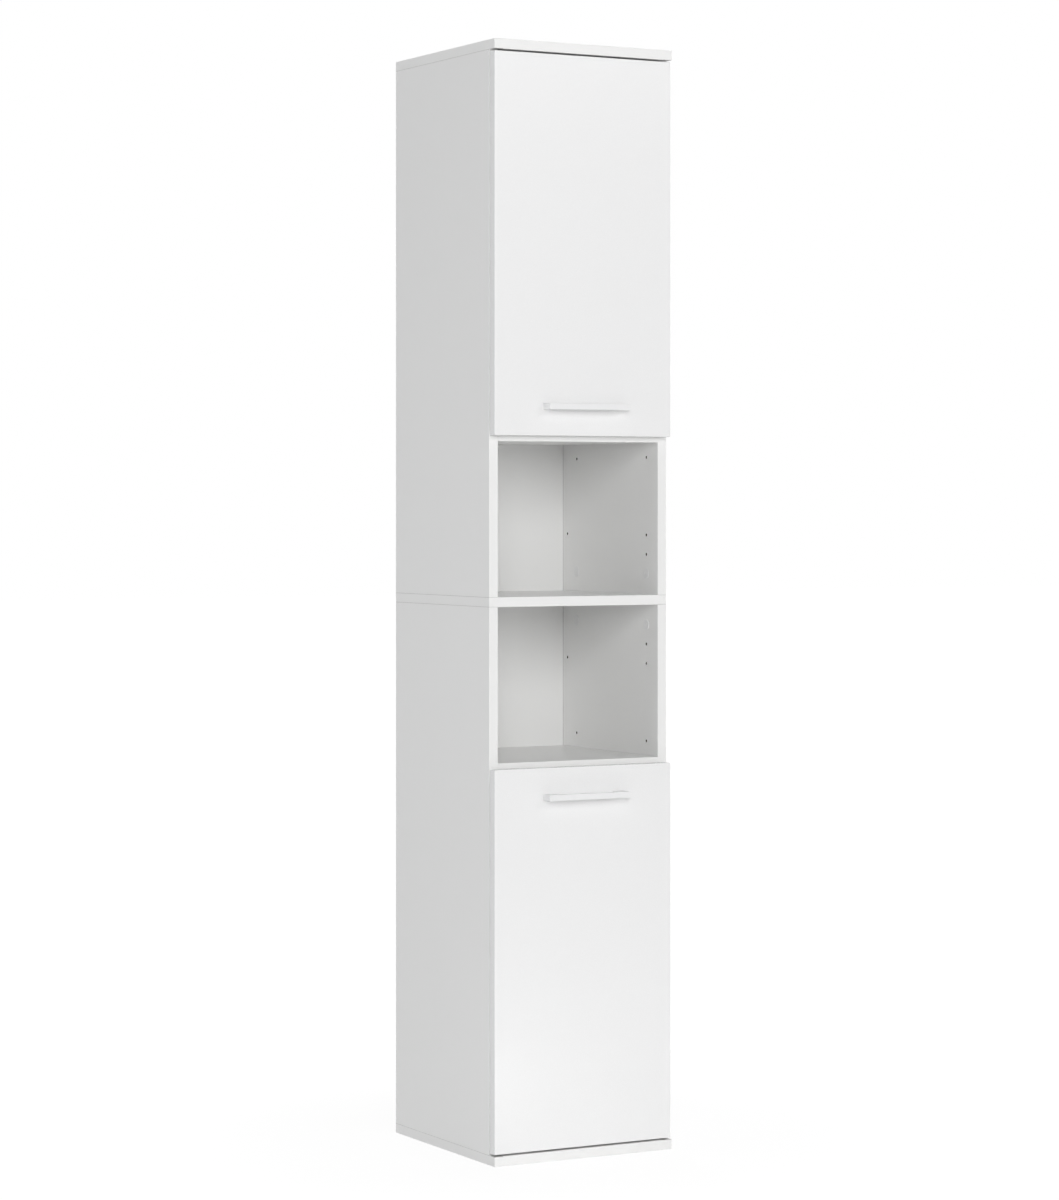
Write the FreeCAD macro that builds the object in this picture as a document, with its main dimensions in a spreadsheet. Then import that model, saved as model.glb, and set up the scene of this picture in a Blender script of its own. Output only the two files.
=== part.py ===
import FreeCAD, Part
import math
import os
import Sketcher
from FreeCAD import Placement, Rotation, Vector

# A tall, slim bathroom cabinet: two stacked modules of 16 mm faced board. Each has an open niche next
# to the middle board and a compartment with a door at its far end, so from the floor up it reads
# door, niche, middle board, niche, door. Millimetres. The origin is the centre of the base board's
# underside, the front faces -Y, +X is to the right and +Z is up.

doc = FreeCAD.newDocument("TallCabinet")
sizes = doc.addObject("Spreadsheet::Sheet", "Size")

DRIVING_SIZES = {
    # carcass
    "cab_width": 330, "cab_depth": 350, "cab_height": 1800, "board": 16,
    "niche_height": 250, "edge_round": 0.6,
    # doors
    "door_thick": 16, "door_gap": 2, "left_reveal": 0.5, "right_reveal": 2.5, "end_reveal": 3,
    "door_round": 1, "door_overlap": 7, "bumper_dia": 8, "bumper_thick": 1.9, "bumper_inset": 30,
    # back panels in their grooves
    "back_thick": 3, "back_inset": 14, "groove_deep": 6.5, "back_engage": 6, "groove_play": 0.1,
    # drilling lines, from a panel's front edge, and rows, from a panel's end
    "front_line": 37, "rear_line": 269, "far_line": 301, "dowel_step": 64,
    "row_a": 66, "row_b": 98, "row_c": 226, "row_d": 290, "row_e": 354,
    "row_dia": 5, "row_deep": 11.5,
    # cam fittings and dowels
    "cam_reach": 34, "cam_bore": 15, "cam_bore_deep": 12.7, "cam_dia": 14.6, "cam_thick": 12.3,
    "bolt_bore": 8, "bolt_hole": 5.2, "bolt_core": 5, "bolt_head": 7, "bolt_bite": 11,
    "dowel_bore": 8, "dowel_dia": 7.8, "dowel_bite": 11, "dowel_reach": 22, "through_bore": 7.4,
    "cap_dia": 18, "cap_thick": 0.8, "cam_face": 4, "cam_slot": 7.4,
    "driver_long": 8, "driver_wide": 1.8, "driver_deep": 1.6,
    "bolt_collar": 1, "bolt_shaft": 4.8, "bolt_knob": 3, "dowel_chamfer": 0.8,
    # loose shelves and their pins
    "shelf_play": 1.5, "shelf_setback": 25, "pin_dia": 4.9, "pin_sunk": 9, "pin_out": 8,
    "collar_dia": 7, "collar_thick": 1.2,
    # handles
    "bow_length": 150, "bow_high": 10, "bow_stand": 22, "bow_bar": 7, "bow_foot": 20,
    "bow_pitch": 128, "bow_edge": 47, "bow_round": 0.8, "bow_lean": 3, "bow_throat": 2.5,
    "bow_bolt_hole": 5, "bow_tap": 4.1, "bow_tap_deep": 12,
    "screw_head": 8, "screw_head_high": 2.5, "screw_shank": 3.9, "screw_bite": 10,
    # hinges: u runs inwards from the side panel, v back from its front edge
    "cup_offset": 22.5, "cup_dia": 35, "cup_bore_deep": 12, "cup_deep": 11.5, "cup_wall": 0.8,
    "cup_play": 0.15, "cup_rim": 40, "cup_flange": 0.8, "wing_offset": 9.5, "wing_half_pitch": 22.5,
    "wing_dia": 10, "wing_hole": 3.4, "pilot_dia": 3, "pilot_deep": 10,
    "cup_screw": 2.9, "cup_screw_long": 9, "cup_screw_head": 6.5, "cup_screw_head_high": 1.6,
    "long_arm_u": 19.5, "long_arm_v": 14.1, "long_knee_u": 9, "long_knee_v": -4,
    "long_cup_u": -4, "long_cup_v": -2,
    "short_arm_u": 11.3, "short_arm_v": -4.2, "short_knee_u": 8, "short_knee_v": -10,
    "short_cup_u": -1.8, "short_cup_v": -6.5,
    "ear_root_u": -2.2, "ear_root_v": -9.2, "ear_root_dia": 8, "ear_tip_dia": 3.4,
    "ear_low": 2.9, "ear_high": 4.1, "lever_half": 2.5, "side_low": 5, "side_high": 6.4,
    "pivot_dia": 2, "pivot_play": 0.1, "pivot_head": 3.2, "pivot_head_high": 0.5,
    "lever_dia": 4.6, "lever_knee_dia": 4.4, "lever_tip_dia": 3.4, "side_dia": 3.8,
    "side_tip_dia": 3.4, "stub_low": 4.3,
    "nose_dia": 4, "neck_dia": 5.4, "neck_u": 17.3, "neck_v": 28,
    "arm_top": 20, "arm_low": 5, "arm_half": 7.5, "arm_wall": 1.2, "arm_front": 18, "arm_rear": 62,
    "arm_screw_v": 50, "arm_screw": 3.8, "arm_screw_head": 7, "arm_screw_head_high": 1.6,
    "arm_screw_hole": 4.2,
    "hinge_row": 82, "plate_half_pitch": 16, "plate_thick": 2.5, "plate_wing_dia": 13,
    "plate_boss_high": 9, "plate_boss_half": 6, "plate_boss_front": 27, "plate_boss_rear": 57,
    "plate_hole": 5.2, "plate_screw": 4.9, "plate_screw_bite": 10, "plate_screw_head": 8.5,
    "plate_screw_head_high": 2,
    # wall bracket under the top board
    "angle_wide": 60, "angle_leg": 34, "angle_drop": 44, "angle_thick": 2, "angle_screw_step": 40,
    "angle_screw_hole": 4.2, "angle_screw": 3.4, "angle_screw_bite": 12, "angle_screw_head": 7.5,
    "angle_screw_head_high": 2, "angle_wall_hole": 6, "back_wall_hole": 8, "wall_hole_drop": 30,
    "angle_round": 2,
}


def fill_sheet():
    for row, (alias, value) in enumerate(DRIVING_SIZES.items(), start=1):
        sizes.set("A%d" % row, alias)
        sizes.set("B%d" % row, str(value))
        sizes.setAlias("B%d" % row, alias)
    doc.recompute()


fill_sheet()

# --- expressions that several pieces share --------------------------------------------------------

FRONT = "(Size.door_thick + Size.door_gap - Size.cab_depth / 2)"     # front edges of the carcass
REAR = "(Size.cab_depth / 2)"
INNER = "(Size.cab_width / 2 - Size.board)"                          # inner face of a side panel
COLUMN = "(Size.cab_width / 2 - Size.board / 2)"                     # middle of its thickness
MODULE = "((Size.cab_height - 3 * Size.board) / 2)"                  # length of a side panel
HALF = "(Size.cab_height / 2)"
SHELF_ROW = "(%s - Size.niche_height - Size.board / 2)" % MODULE     # fixed shelf, from a door end
BACK_FACE = "(%s - Size.back_inset - Size.back_thick)" % REAR        # front face of a back panel
FRONT_LINE = "(%s + Size.front_line)" % FRONT
REAR_LINE = "(%s + Size.rear_line)" % FRONT
FAR_LINE = "(%s + Size.far_line)" % FRONT
DOWEL_FRONT = "(%s + Size.dowel_step)" % FRONT_LINE
DOWEL_REAR = "(%s - Size.dowel_step)" % REAR_LINE
LINE_STEP = "(Size.rear_line - Size.front_line)"
DOWEL_STEP = "(Size.rear_line - Size.front_line - 2 * Size.dowel_step)"
DOOR_BACK = "(Size.cab_depth / 2 - Size.door_thick)"                 # distance of a door's back from Y 0
BRACKET_LINE = "(%s - Size.angle_leg / 2 - Size.angle_thick)" % BACK_FACE
DOOR_HIGH = "(%s - Size.board / 2 + Size.door_overlap - Size.end_reveal)" % SHELF_ROW


def number(expression):
    return sizes.evalExpression(expression)


def minus(expression):
    return "-" + expression


# --- sketching and feature helpers ----------------------------------------------------------------

def new_body(name):
    body = doc.addObject("PartDesign::Body", name)
    body.Label = name
    return body


def datum(body, role):
    return [item for item in body.Origin.OriginFeatures if item.Role == role][0]


def sketch_on(body, role, offset="0"):
    sketch = body.newObject("Sketcher::SketchObject", body.Name + "_sketch")
    sketch.AttachmentSupport = [(datum(body, role), "")]
    sketch.MapMode = "FlatFace"
    sketch.setExpression("AttachmentOffset.Base.z", offset)
    return sketch


def constrain(sketch, kind, arguments, expression):
    start = sketch.evalExpression(expression)
    index = sketch.addConstraint(Sketcher.Constraint(kind, *arguments, start))
    sketch.setExpression("Constraints[%d]" % index, expression)


def pin_point(sketch, geometry, vertex, x, y):
    constrain(sketch, "DistanceX", (-1, 1, geometry, vertex), x)
    constrain(sketch, "DistanceY", (-1, 1, geometry, vertex), y)


def circle(sketch, x, y, diameter):
    centre = Vector(sketch.evalExpression(x), sketch.evalExpression(y), 0)
    radius = sketch.evalExpression(diameter) / 2
    index = sketch.addGeometry(Part.Circle(centre, Vector(0, 0, 1), radius))
    pin_point(sketch, index, 3, x, y)
    constrain(sketch, "Diameter", (index,), diameter)


def outline(sketch, corners):
    spots = [Vector(sketch.evalExpression(x), sketch.evalExpression(y), 0) for x, y in corners]
    first = sketch.GeometryCount
    for start, end in zip(spots, spots[1:] + spots[:1]):
        sketch.addGeometry(Part.LineSegment(start, end))
    for step in range(len(spots)):
        following = first + (step + 1) % len(spots)
        sketch.addConstraint(Sketcher.Constraint("Coincident", first + step, 2, following, 1))
    for step, (x, y) in enumerate(corners):
        pin_point(sketch, first + step, 1, x, y)


def rectangle(sketch, x_low, y_low, x_high, y_high):
    outline(sketch, [(x_low, y_low), (x_high, y_low), (x_high, y_high), (x_low, y_high)])


def settle(body, feature):
    """Recomputes, and stops at a feature that failed."""
    body.Tip = feature
    doc.recompute()
    if "Invalid" in feature.State or "Error" in feature.State or feature.Shape.isNull():
        raise RuntimeError("feature failed: %s %s" % (feature.Name, feature.State))
    return feature


def pad(body, sketch, length, reverse=False, symmetric=False):
    feature = body.newObject("PartDesign::Pad", body.Name + "_pad")
    feature.Profile = sketch
    feature.Reversed = reverse
    if symmetric:
        feature.SideType = "Symmetric"
    feature.setExpression("Length", length)
    return settle(body, feature)


def pocket(body, sketch, depth, forward, symmetric=False):
    """Cuts along the sketch's normal when forward is true, else against it."""
    before = body.Shape.Volume
    feature = body.newObject("PartDesign::Pocket", body.Name + "_pocket")
    feature.Profile = sketch
    feature.Reversed = forward
    if symmetric:
        feature.SideType = "Symmetric"
    feature.setExpression("Length", depth)
    settle(body, feature)
    if feature.Shape.Volume > before - 0.01:
        raise RuntimeError("pocket cuts nothing: " + feature.Name)
    return feature


def repeat(body, role, length):
    """Doubles the whole body along an axis of its own."""
    feature = body.newObject("PartDesign::LinearPattern", body.Name + "_pattern")
    feature.TransformMode = "Whole shape"
    feature.Direction = (datum(body, role), [""])
    feature.Occurrences = 2
    feature.setExpression("Length", length)
    return settle(body, feature)


def mirror(body, role):
    feature = body.newObject("PartDesign::Mirrored", body.Name + "_mirror")
    feature.TransformMode = "Whole shape"
    feature.MirrorPlane = (datum(body, role), [""])
    return settle(body, feature)


def round_edges(body, radius, wanted):
    """Rounds the edges that wanted(edge) picks from the body's present shape."""
    base = body.Tip
    names = ["Edge%d" % (n + 1) for n, edge in enumerate(base.Shape.Edges) if wanted(edge)]
    feature = body.newObject("PartDesign::Fillet", body.Name + "_round")
    feature.Base = (base, names)
    feature.setExpression("Radius", radius)
    return settle(body, feature)


def along(edge, axis):
    """True for a straight edge parallel to axis 0, 1 or 2."""
    if edge.Curve.TypeId != "Part::GeomLine":
        return False
    run = edge.Vertexes[1].Point - edge.Vertexes[0].Point
    return abs(abs(run[axis]) - run.Length) < 1e-6


def place(body, x="0", y="0", z="0", turn=None):
    body.Placement = Placement(Vector(0, 0, 0), turn or Rotation())
    for axis, expression in zip("xyz", (x, y, z)):
        body.setExpression("Placement.Base." + axis, expression)


FLIP = Rotation(Vector(0, 1, 0), 180)      # top for bottom, left for right, front stays in front


# --- carcass boards -------------------------------------------------------------------------------

def board_blank(body, y_low, half_width):
    plan = sketch_on(body, "XY_Plane")
    rectangle(plan, minus(half_width), y_low, half_width, REAR)
    pad(body, plan, "Size.board")
    round_edges(body, "Size.edge_round", lambda edge: True)


def joint_holes(sketch, bolt_dia, dowel_dia):
    """Bolt and dowel holes over both side panels."""
    for x in (minus(COLUMN), COLUMN):
        for y in (FRONT_LINE, REAR_LINE):
            circle(sketch, x, y, bolt_dia)
        for y in (DOWEL_FRONT, DOWEL_REAR):
            circle(sketch, x, y, dowel_dia)


def back_groove(sketch):
    reach = "(%s + Size.groove_deep)" % INNER
    rectangle(sketch, minus(reach), "%s - Size.groove_play" % BACK_FACE,
              reach, "%s + Size.back_thick + Size.groove_play" % BACK_FACE)


def end_panel(name, z, turn=None, bracket=False):
    """Base or top board: full plan, drilled and grooved on the side that meets the side panels."""
    body = new_body(name)
    board_blank(body, "-Size.cab_depth / 2", "(Size.cab_width / 2)")
    holes = sketch_on(body, "XY_Plane", "Size.board")
    joint_holes(holes, "Size.bolt_hole", "Size.dowel_bore")
    pocket(body, holes, "Size.row_deep", forward=False)
    groove = sketch_on(body, "XY_Plane", "Size.board")
    back_groove(groove)
    pocket(body, groove, "Size.groove_deep", forward=False)
    if bracket:
        pilots = sketch_on(body, "XY_Plane", "Size.board")
        for side in ("-", ""):
            circle(pilots, "%sSize.angle_screw_step / 2" % side, BRACKET_LINE, "Size.angle_screw")
        pocket(body, pilots, "Size.angle_screw_bite", forward=False)
    place(body, z=z, turn=turn)


def middle_panel():
    """Board between the modules, drilled through for double bolts and long dowels."""
    body = new_body("middle_panel")
    board_blank(body, FRONT, "(Size.cab_width / 2)")
    holes = sketch_on(body, "XY_Plane")
    joint_holes(holes, "Size.through_bore", "Size.dowel_bore")
    pocket(body, holes, "Size.board", forward=True)
    for level, forward in (("0", True), ("Size.board", False)):
        groove = sketch_on(body, "XY_Plane", level)
        back_groove(groove)
        pocket(body, groove, "Size.groove_deep", forward=forward)
    place(body, z="%s - Size.board / 2" % HALF)


def side_panel(name, hand, x, z, turn=None):
    """A side panel. Local X 0 is its inner face, Z 0 its door end, and hand is the side that the
    board's thickness lies on."""
    body = new_body(name)
    plan = sketch_on(body, "YZ_Plane")
    rectangle(plan, FRONT, "0", REAR, MODULE)
    pad(body, plan, "Size.board", reverse=hand < 0)
    round_edges(body, "Size.edge_round", lambda edge: along(edge, 2))

    rows = sketch_on(body, "YZ_Plane")
    for level in ("Size.row_a", "Size.row_b", "Size.row_c"):
        for z_row in (level, "%s - %s" % (MODULE, level)):
            circle(rows, FRONT_LINE, z_row, "Size.row_dia")
    for z_row in ("Size.row_b", "%s - Size.row_b" % MODULE):
        circle(rows, FAR_LINE, z_row, "Size.row_dia")
    for z_row in ("Size.row_c", "%s - Size.row_c" % MODULE):
        circle(rows, REAR_LINE, z_row, "Size.row_dia")
    for level in ("Size.row_d", "Size.row_e"):
        for y in (FRONT_LINE, REAR_LINE):
            circle(rows, y, level, "Size.row_dia")
    for level in ("Size.row_a", "Size.row_b"):
        circle(rows, FRONT_LINE, "%s - Size.board / 2 - %s" % (SHELF_ROW, level), "Size.row_dia")
    for y in (FRONT_LINE, REAR_LINE):
        circle(rows, y, SHELF_ROW, "Size.bolt_hole")
    pocket(body, rows, "Size.row_deep", forward=hand > 0)

    pegs = sketch_on(body, "YZ_Plane")
    for y in (DOWEL_FRONT, DOWEL_REAR):
        circle(pegs, y, SHELF_ROW, "Size.dowel_bore")
    pocket(body, pegs, "Size.row_deep", forward=hand > 0)

    cams = sketch_on(body, "YZ_Plane")
    for level in ("Size.cam_reach", "%s - Size.cam_reach" % MODULE):
        for y in (FRONT_LINE, REAR_LINE):
            circle(cams, y, level, "Size.cam_bore")
    pocket(body, cams, "Size.cam_bore_deep", forward=hand > 0)

    middle = "%d * Size.board / 2" % hand
    for level, forward in (("0", True), (MODULE, False)):
        channels = sketch_on(body, "XY_Plane", level)
        for y in (FRONT_LINE, REAR_LINE):
            circle(channels, middle, y, "Size.bolt_bore")
        pocket(body, channels, "Size.cam_reach", forward=forward)
        ends = sketch_on(body, "XY_Plane", level)
        for y in (DOWEL_FRONT, DOWEL_REAR):
            circle(ends, middle, y, "Size.dowel_bore")
        pocket(body, ends, "Size.dowel_reach + 1", forward=forward)

    groove = sketch_on(body, "YZ_Plane")
    rectangle(groove, "%s - Size.groove_play" % BACK_FACE, "0",
              "%s + Size.back_thick + Size.groove_play" % BACK_FACE, MODULE)
    pocket(body, groove, "Size.groove_deep", forward=hand > 0)
    place(body, x=x, z=z, turn=turn)


def fixed_shelf(name, z, turn=None):
    """Shelf between door compartment and niche. Local Z 0 is its compartment face."""
    body = new_body(name)
    plan = sketch_on(body, "XY_Plane")
    rectangle(plan, minus(INNER), FRONT, INNER, "%s - Size.groove_play" % BACK_FACE)
    pad(body, plan, "Size.board")
    round_edges(body, "Size.edge_round", lambda edge: along(edge, 0))
    cams = sketch_on(body, "XY_Plane")
    for side in ("-", ""):
        for y in (FRONT_LINE, REAR_LINE):
            circle(cams, "%s(%s - Size.cam_reach)" % (side, INNER), y, "Size.cam_bore")
    pocket(body, cams, "Size.cam_bore_deep", forward=True)
    for offset, forward in ((minus(INNER), True), (INNER, False)):
        channels = sketch_on(body, "YZ_Plane", offset)
        for y in (FRONT_LINE, REAR_LINE):
            circle(channels, y, "Size.board / 2", "Size.bolt_bore")
        pocket(body, channels, "Size.cam_reach", forward=forward)
        ends = sketch_on(body, "YZ_Plane", offset)
        for y in (DOWEL_FRONT, DOWEL_REAR):
            circle(ends, y, "Size.board / 2", "Size.dowel_bore")
        pocket(body, ends, "Size.dowel_reach + 1", forward=forward)
    place(body, z=z, turn=turn)


def back_panel(name, z, wall_hole=None):
    """Thin board in the grooves, with a hole for the wall screw where one is asked for."""
    body = new_body(name)
    face = sketch_on(body, "XZ_Plane", minus(BACK_FACE))
    half = "(%s + Size.back_engage)" % INNER
    rectangle(face, minus(half), "-Size.back_engage", half, "%s + Size.back_engage" % MODULE)
    pad(body, face, "Size.back_thick", reverse=True)
    if wall_hole:
        hole = sketch_on(body, "XZ_Plane", minus(BACK_FACE))
        circle(hole, "0", wall_hole, "Size.back_wall_hole")
        pocket(body, hole, "Size.back_thick", forward=False)
    place(body, z=z)


def loose_shelf(name, z):
    body = new_body(name)
    plan = sketch_on(body, "XY_Plane")
    half = "(%s - Size.shelf_play)" % INNER
    rectangle(plan, minus(half), "%s + Size.shelf_setback" % FRONT,
              half, "%s - 2 * Size.groove_play" % BACK_FACE)
    pad(body, plan, "Size.board")
    round_edges(body, "Size.edge_round", lambda edge: along(edge, 0))
    place(body, z=z)


# --- cams, bolts, dowels, caps and shelf pins -----------------------------------------------------

DOOR_END = "(Size.board - %s)" % HALF                  # base board's top face, from half height
MIDDLE_END = "(-Size.board / 2)"                       # middle board's underside
SHELF_LEVEL = "(%s + %s)" % (DOOR_END, SHELF_ROW)      # middle plane of the lower fixed shelf
SHELF_UNDER = "(%s - Size.board / 2)" % SHELF_LEVEL


def carcass_group(name):
    """A body with its origin at half height, where like fittings mirror about all three planes."""
    body = new_body(name)
    place(body, z=HALF)
    return body


def spread(body, line_step, upright=True):
    """Repeats one corner's fitting over the drilling lines, both sides and both modules."""
    repeat(body, "Y_Axis", line_step)
    mirror(body, "YZ_Plane")
    if upright:
        mirror(body, "XY_Plane")


def side_cams():
    """Cam discs, slotted across for the bolt, flush in the side panels' inner faces."""
    body = carcass_group("side_cams")
    level = "(%s + Size.cam_reach)" % DOOR_END
    disc = sketch_on(body, "YZ_Plane", INNER)
    circle(disc, FRONT_LINE, level, "Size.cam_dia")
    pad(body, disc, "Size.cam_thick")
    slot = sketch_on(body, "YZ_Plane", "%s + Size.cam_thick" % INNER)
    rectangle(slot, "%s - Size.cam_slot / 2" % FRONT_LINE, "%s - Size.cam_dia" % level,
              "%s + Size.cam_slot / 2" % FRONT_LINE, "%s + Size.cam_dia" % level)
    pocket(body, slot, "Size.cam_thick - Size.cam_face", forward=False)
    driver = sketch_on(body, "YZ_Plane", INNER)
    rectangle(driver, "%s - Size.driver_long / 2" % FRONT_LINE, "%s - Size.driver_wide / 2" % level,
              "%s + Size.driver_long / 2" % FRONT_LINE, "%s + Size.driver_wide / 2" % level)
    pocket(body, driver, "Size.driver_deep", forward=True)
    repeat(body, "Z_Axis", "%s - 2 * Size.cam_reach" % MODULE)
    spread(body, LINE_STEP)


def shelf_cams():
    body = carcass_group("shelf_cams")
    across = "(%s - Size.cam_reach)" % INNER
    disc = sketch_on(body, "XY_Plane", SHELF_UNDER)
    circle(disc, across, FRONT_LINE, "Size.cam_dia")
    pad(body, disc, "Size.cam_thick")
    slot = sketch_on(body, "XY_Plane", "%s + Size.cam_thick" % SHELF_UNDER)
    rectangle(slot, "%s - Size.cam_dia" % across, "%s - Size.cam_slot / 2" % FRONT_LINE,
              "%s + Size.cam_dia" % across, "%s + Size.cam_slot / 2" % FRONT_LINE)
    pocket(body, slot, "Size.cam_thick - Size.cam_face", forward=False)
    driver = sketch_on(body, "XY_Plane", SHELF_UNDER)
    rectangle(driver, "%s - Size.driver_long / 2" % across, "%s - Size.driver_wide / 2" % FRONT_LINE,
              "%s + Size.driver_long / 2" % across, "%s + Size.driver_wide / 2" % FRONT_LINE)
    pocket(body, driver, "Size.driver_deep", forward=True)
    spread(body, LINE_STEP)


def stack(body, role, x, y, low, steps):
    """Turned fitting as a stack of round pads: steps are pairs of diameter and length."""
    level = low
    for diameter, length in steps:
        section = sketch_on(body, role, level)
        circle(section, x, y, diameter)
        pad(body, section, length)
        level = "(%s + %s)" % (level, length)


def cam_bolts():
    """Threaded end in the base or top board, head in the cam."""
    body = carcass_group("cam_bolts")
    stack(body, "XY_Plane", COLUMN, FRONT_LINE, "(%s - Size.bolt_bite)" % DOOR_END,
          [("Size.bolt_core", "(Size.bolt_bite)"),
           ("Size.bolt_head", "Size.bolt_collar"),
           ("Size.bolt_shaft", "(Size.cam_reach - Size.bolt_collar - Size.bolt_knob / 2)"),
           ("Size.bolt_head", "Size.bolt_knob")])
    spread(body, LINE_STEP)


def double_bolts():
    """Plain bolts through the middle board, with a head in a cam at both ends."""
    body = carcass_group("double_bolts")
    head_low = "(%s - Size.cam_reach - Size.bolt_knob / 2)" % MIDDLE_END
    stack(body, "XY_Plane", COLUMN, FRONT_LINE, head_low,
          [("Size.bolt_head", "Size.bolt_knob"),
           ("Size.bolt_shaft", "(2 * Size.cam_reach - Size.bolt_knob + Size.board)"),
           ("Size.bolt_head", "Size.bolt_knob")])
    spread(body, LINE_STEP, upright=False)


def shelf_bolts():
    body = carcass_group("shelf_bolts")
    head_low = "(%s - Size.cam_reach - Size.bolt_knob / 2)" % INNER
    stack(body, "YZ_Plane", FRONT_LINE, SHELF_LEVEL, head_low,
          [("Size.bolt_head", "Size.bolt_knob"),
           ("Size.bolt_shaft", "(Size.cam_reach - Size.bolt_collar - Size.bolt_knob / 2)"),
           ("Size.bolt_head", "Size.bolt_collar"),
           ("Size.bolt_core", "Size.bolt_bite")])
    spread(body, LINE_STEP)


def peg(body, role, x, y, low, length):
    section = sketch_on(body, role, low)
    circle(section, x, y, "Size.dowel_dia")
    pad(body, section, length)
    base = body.Tip
    ends = ["Edge%d" % (n + 1) for n, edge in enumerate(base.Shape.Edges)
            if edge.Curve.TypeId == "Part::GeomCircle"]
    feature = body.newObject("PartDesign::Chamfer", body.Name + "_chamfer")
    feature.Base = (base, ends)
    feature.setExpression("Size", "Size.dowel_chamfer")
    settle(body, feature)


def end_dowels():
    body = carcass_group("end_dowels")
    peg(body, "XY_Plane", COLUMN, DOWEL_FRONT, "(%s - Size.dowel_bite)" % DOOR_END,
        "Size.dowel_bite + Size.dowel_reach")
    spread(body, DOWEL_STEP)


def middle_dowels():
    body = carcass_group("middle_dowels")
    peg(body, "XY_Plane", COLUMN, DOWEL_FRONT, "(%s - Size.dowel_reach)" % MIDDLE_END,
        "Size.board + 2 * Size.dowel_reach")
    spread(body, DOWEL_STEP, upright=False)


def shelf_dowels():
    body = carcass_group("shelf_dowels")
    peg(body, "YZ_Plane", DOWEL_FRONT, SHELF_LEVEL, "(%s - Size.dowel_reach)" % INNER,
        "Size.dowel_bite + Size.dowel_reach")
    spread(body, DOWEL_STEP)


def cam_caps():
    """Stick-on white discs over the cams that would show in the niches."""
    body = carcass_group("cam_caps")
    disc = sketch_on(body, "YZ_Plane", "%s - Size.cap_thick" % INNER)
    circle(disc, FRONT_LINE, "%s - Size.cam_reach" % MIDDLE_END, "Size.cap_dia")
    pad(body, disc, "Size.cap_thick")
    spread(body, LINE_STEP)


def shelf_pins(name, level):
    """Four steel sleeve pins: shank in a row hole, collar against the panel, stub under the shelf."""
    body = new_body(name)
    stack(body, "YZ_Plane", FRONT_LINE, "0", "(%s - Size.pin_out)" % INNER,
          [("Size.pin_dia", "(Size.pin_out - Size.collar_thick)"),
           ("Size.collar_dia", "Size.collar_thick"),
           ("Size.pin_dia", "Size.pin_sunk")])
    spread(body, LINE_STEP, upright=False)
    place(body, z=level)


# --- doors and handles ----------------------------------------------------------------------------

CUP_X = "(Size.cab_width / 2 - Size.right_reveal - Size.cup_offset)"
DOOR_MIDDLE = "((Size.left_reveal - Size.right_reveal) / 2)"
HINGE_LOW = "(Size.hinge_row - Size.end_reveal)"
HINGE_PITCH = "(%s - Size.board / 2 - 2 * Size.hinge_row)" % SHELF_ROW


def door(name, z, hinge_low, bow_level):
    """Door slab, local Z 0 at its lower edge: cup bores and pilot holes behind, bolt holes through."""
    body = new_body(name)
    left = "(Size.left_reveal - Size.cab_width / 2)"
    right = "(Size.cab_width / 2 - Size.right_reveal)"
    face = sketch_on(body, "XZ_Plane", DOOR_BACK)
    rectangle(face, left, "0", right, DOOR_HIGH)
    pad(body, face, "Size.door_thick")
    round_edges(body, "Size.door_round", lambda edge: True)
    for level in (hinge_low, "(%s + %s)" % (hinge_low, HINGE_PITCH)):
        bore = sketch_on(body, "XZ_Plane", DOOR_BACK)
        circle(bore, CUP_X, level, "Size.cup_dia")
        pocket(body, bore, "Size.cup_bore_deep", forward=True)
        pilots = sketch_on(body, "XZ_Plane", DOOR_BACK)
        for side in ("-", "+"):
            circle(pilots, "%s - Size.wing_offset" % CUP_X, "%s %s Size.wing_half_pitch" % (level, side),
                   "Size.pilot_dia")
        pocket(body, pilots, "Size.pilot_deep", forward=True)
    bolts = sketch_on(body, "XZ_Plane", DOOR_BACK)
    for side in ("-", "+"):
        circle(bolts, "%s %s Size.bow_pitch / 2" % (DOOR_MIDDLE, side), bow_level, "Size.bow_bolt_hole")
    pocket(body, bolts, "Size.door_thick", forward=True)
    place(body, z=z)


def door_bumpers(name, z):
    """Clear pads behind the free edge, top and bottom, that meet the side panel's edge."""
    body = new_body(name)
    spot = "(Size.board / 2 - Size.cab_width / 2)"
    pads = sketch_on(body, "XZ_Plane", "%s - Size.bumper_thick" % DOOR_BACK)
    circle(pads, spot, "Size.bumper_inset", "Size.bumper_dia")
    pad(body, pads, "Size.bumper_thick")
    repeat(body, "Z_Axis", "%s - 2 * Size.bumper_inset" % DOOR_HIGH)
    place(body, z=z)


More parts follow.
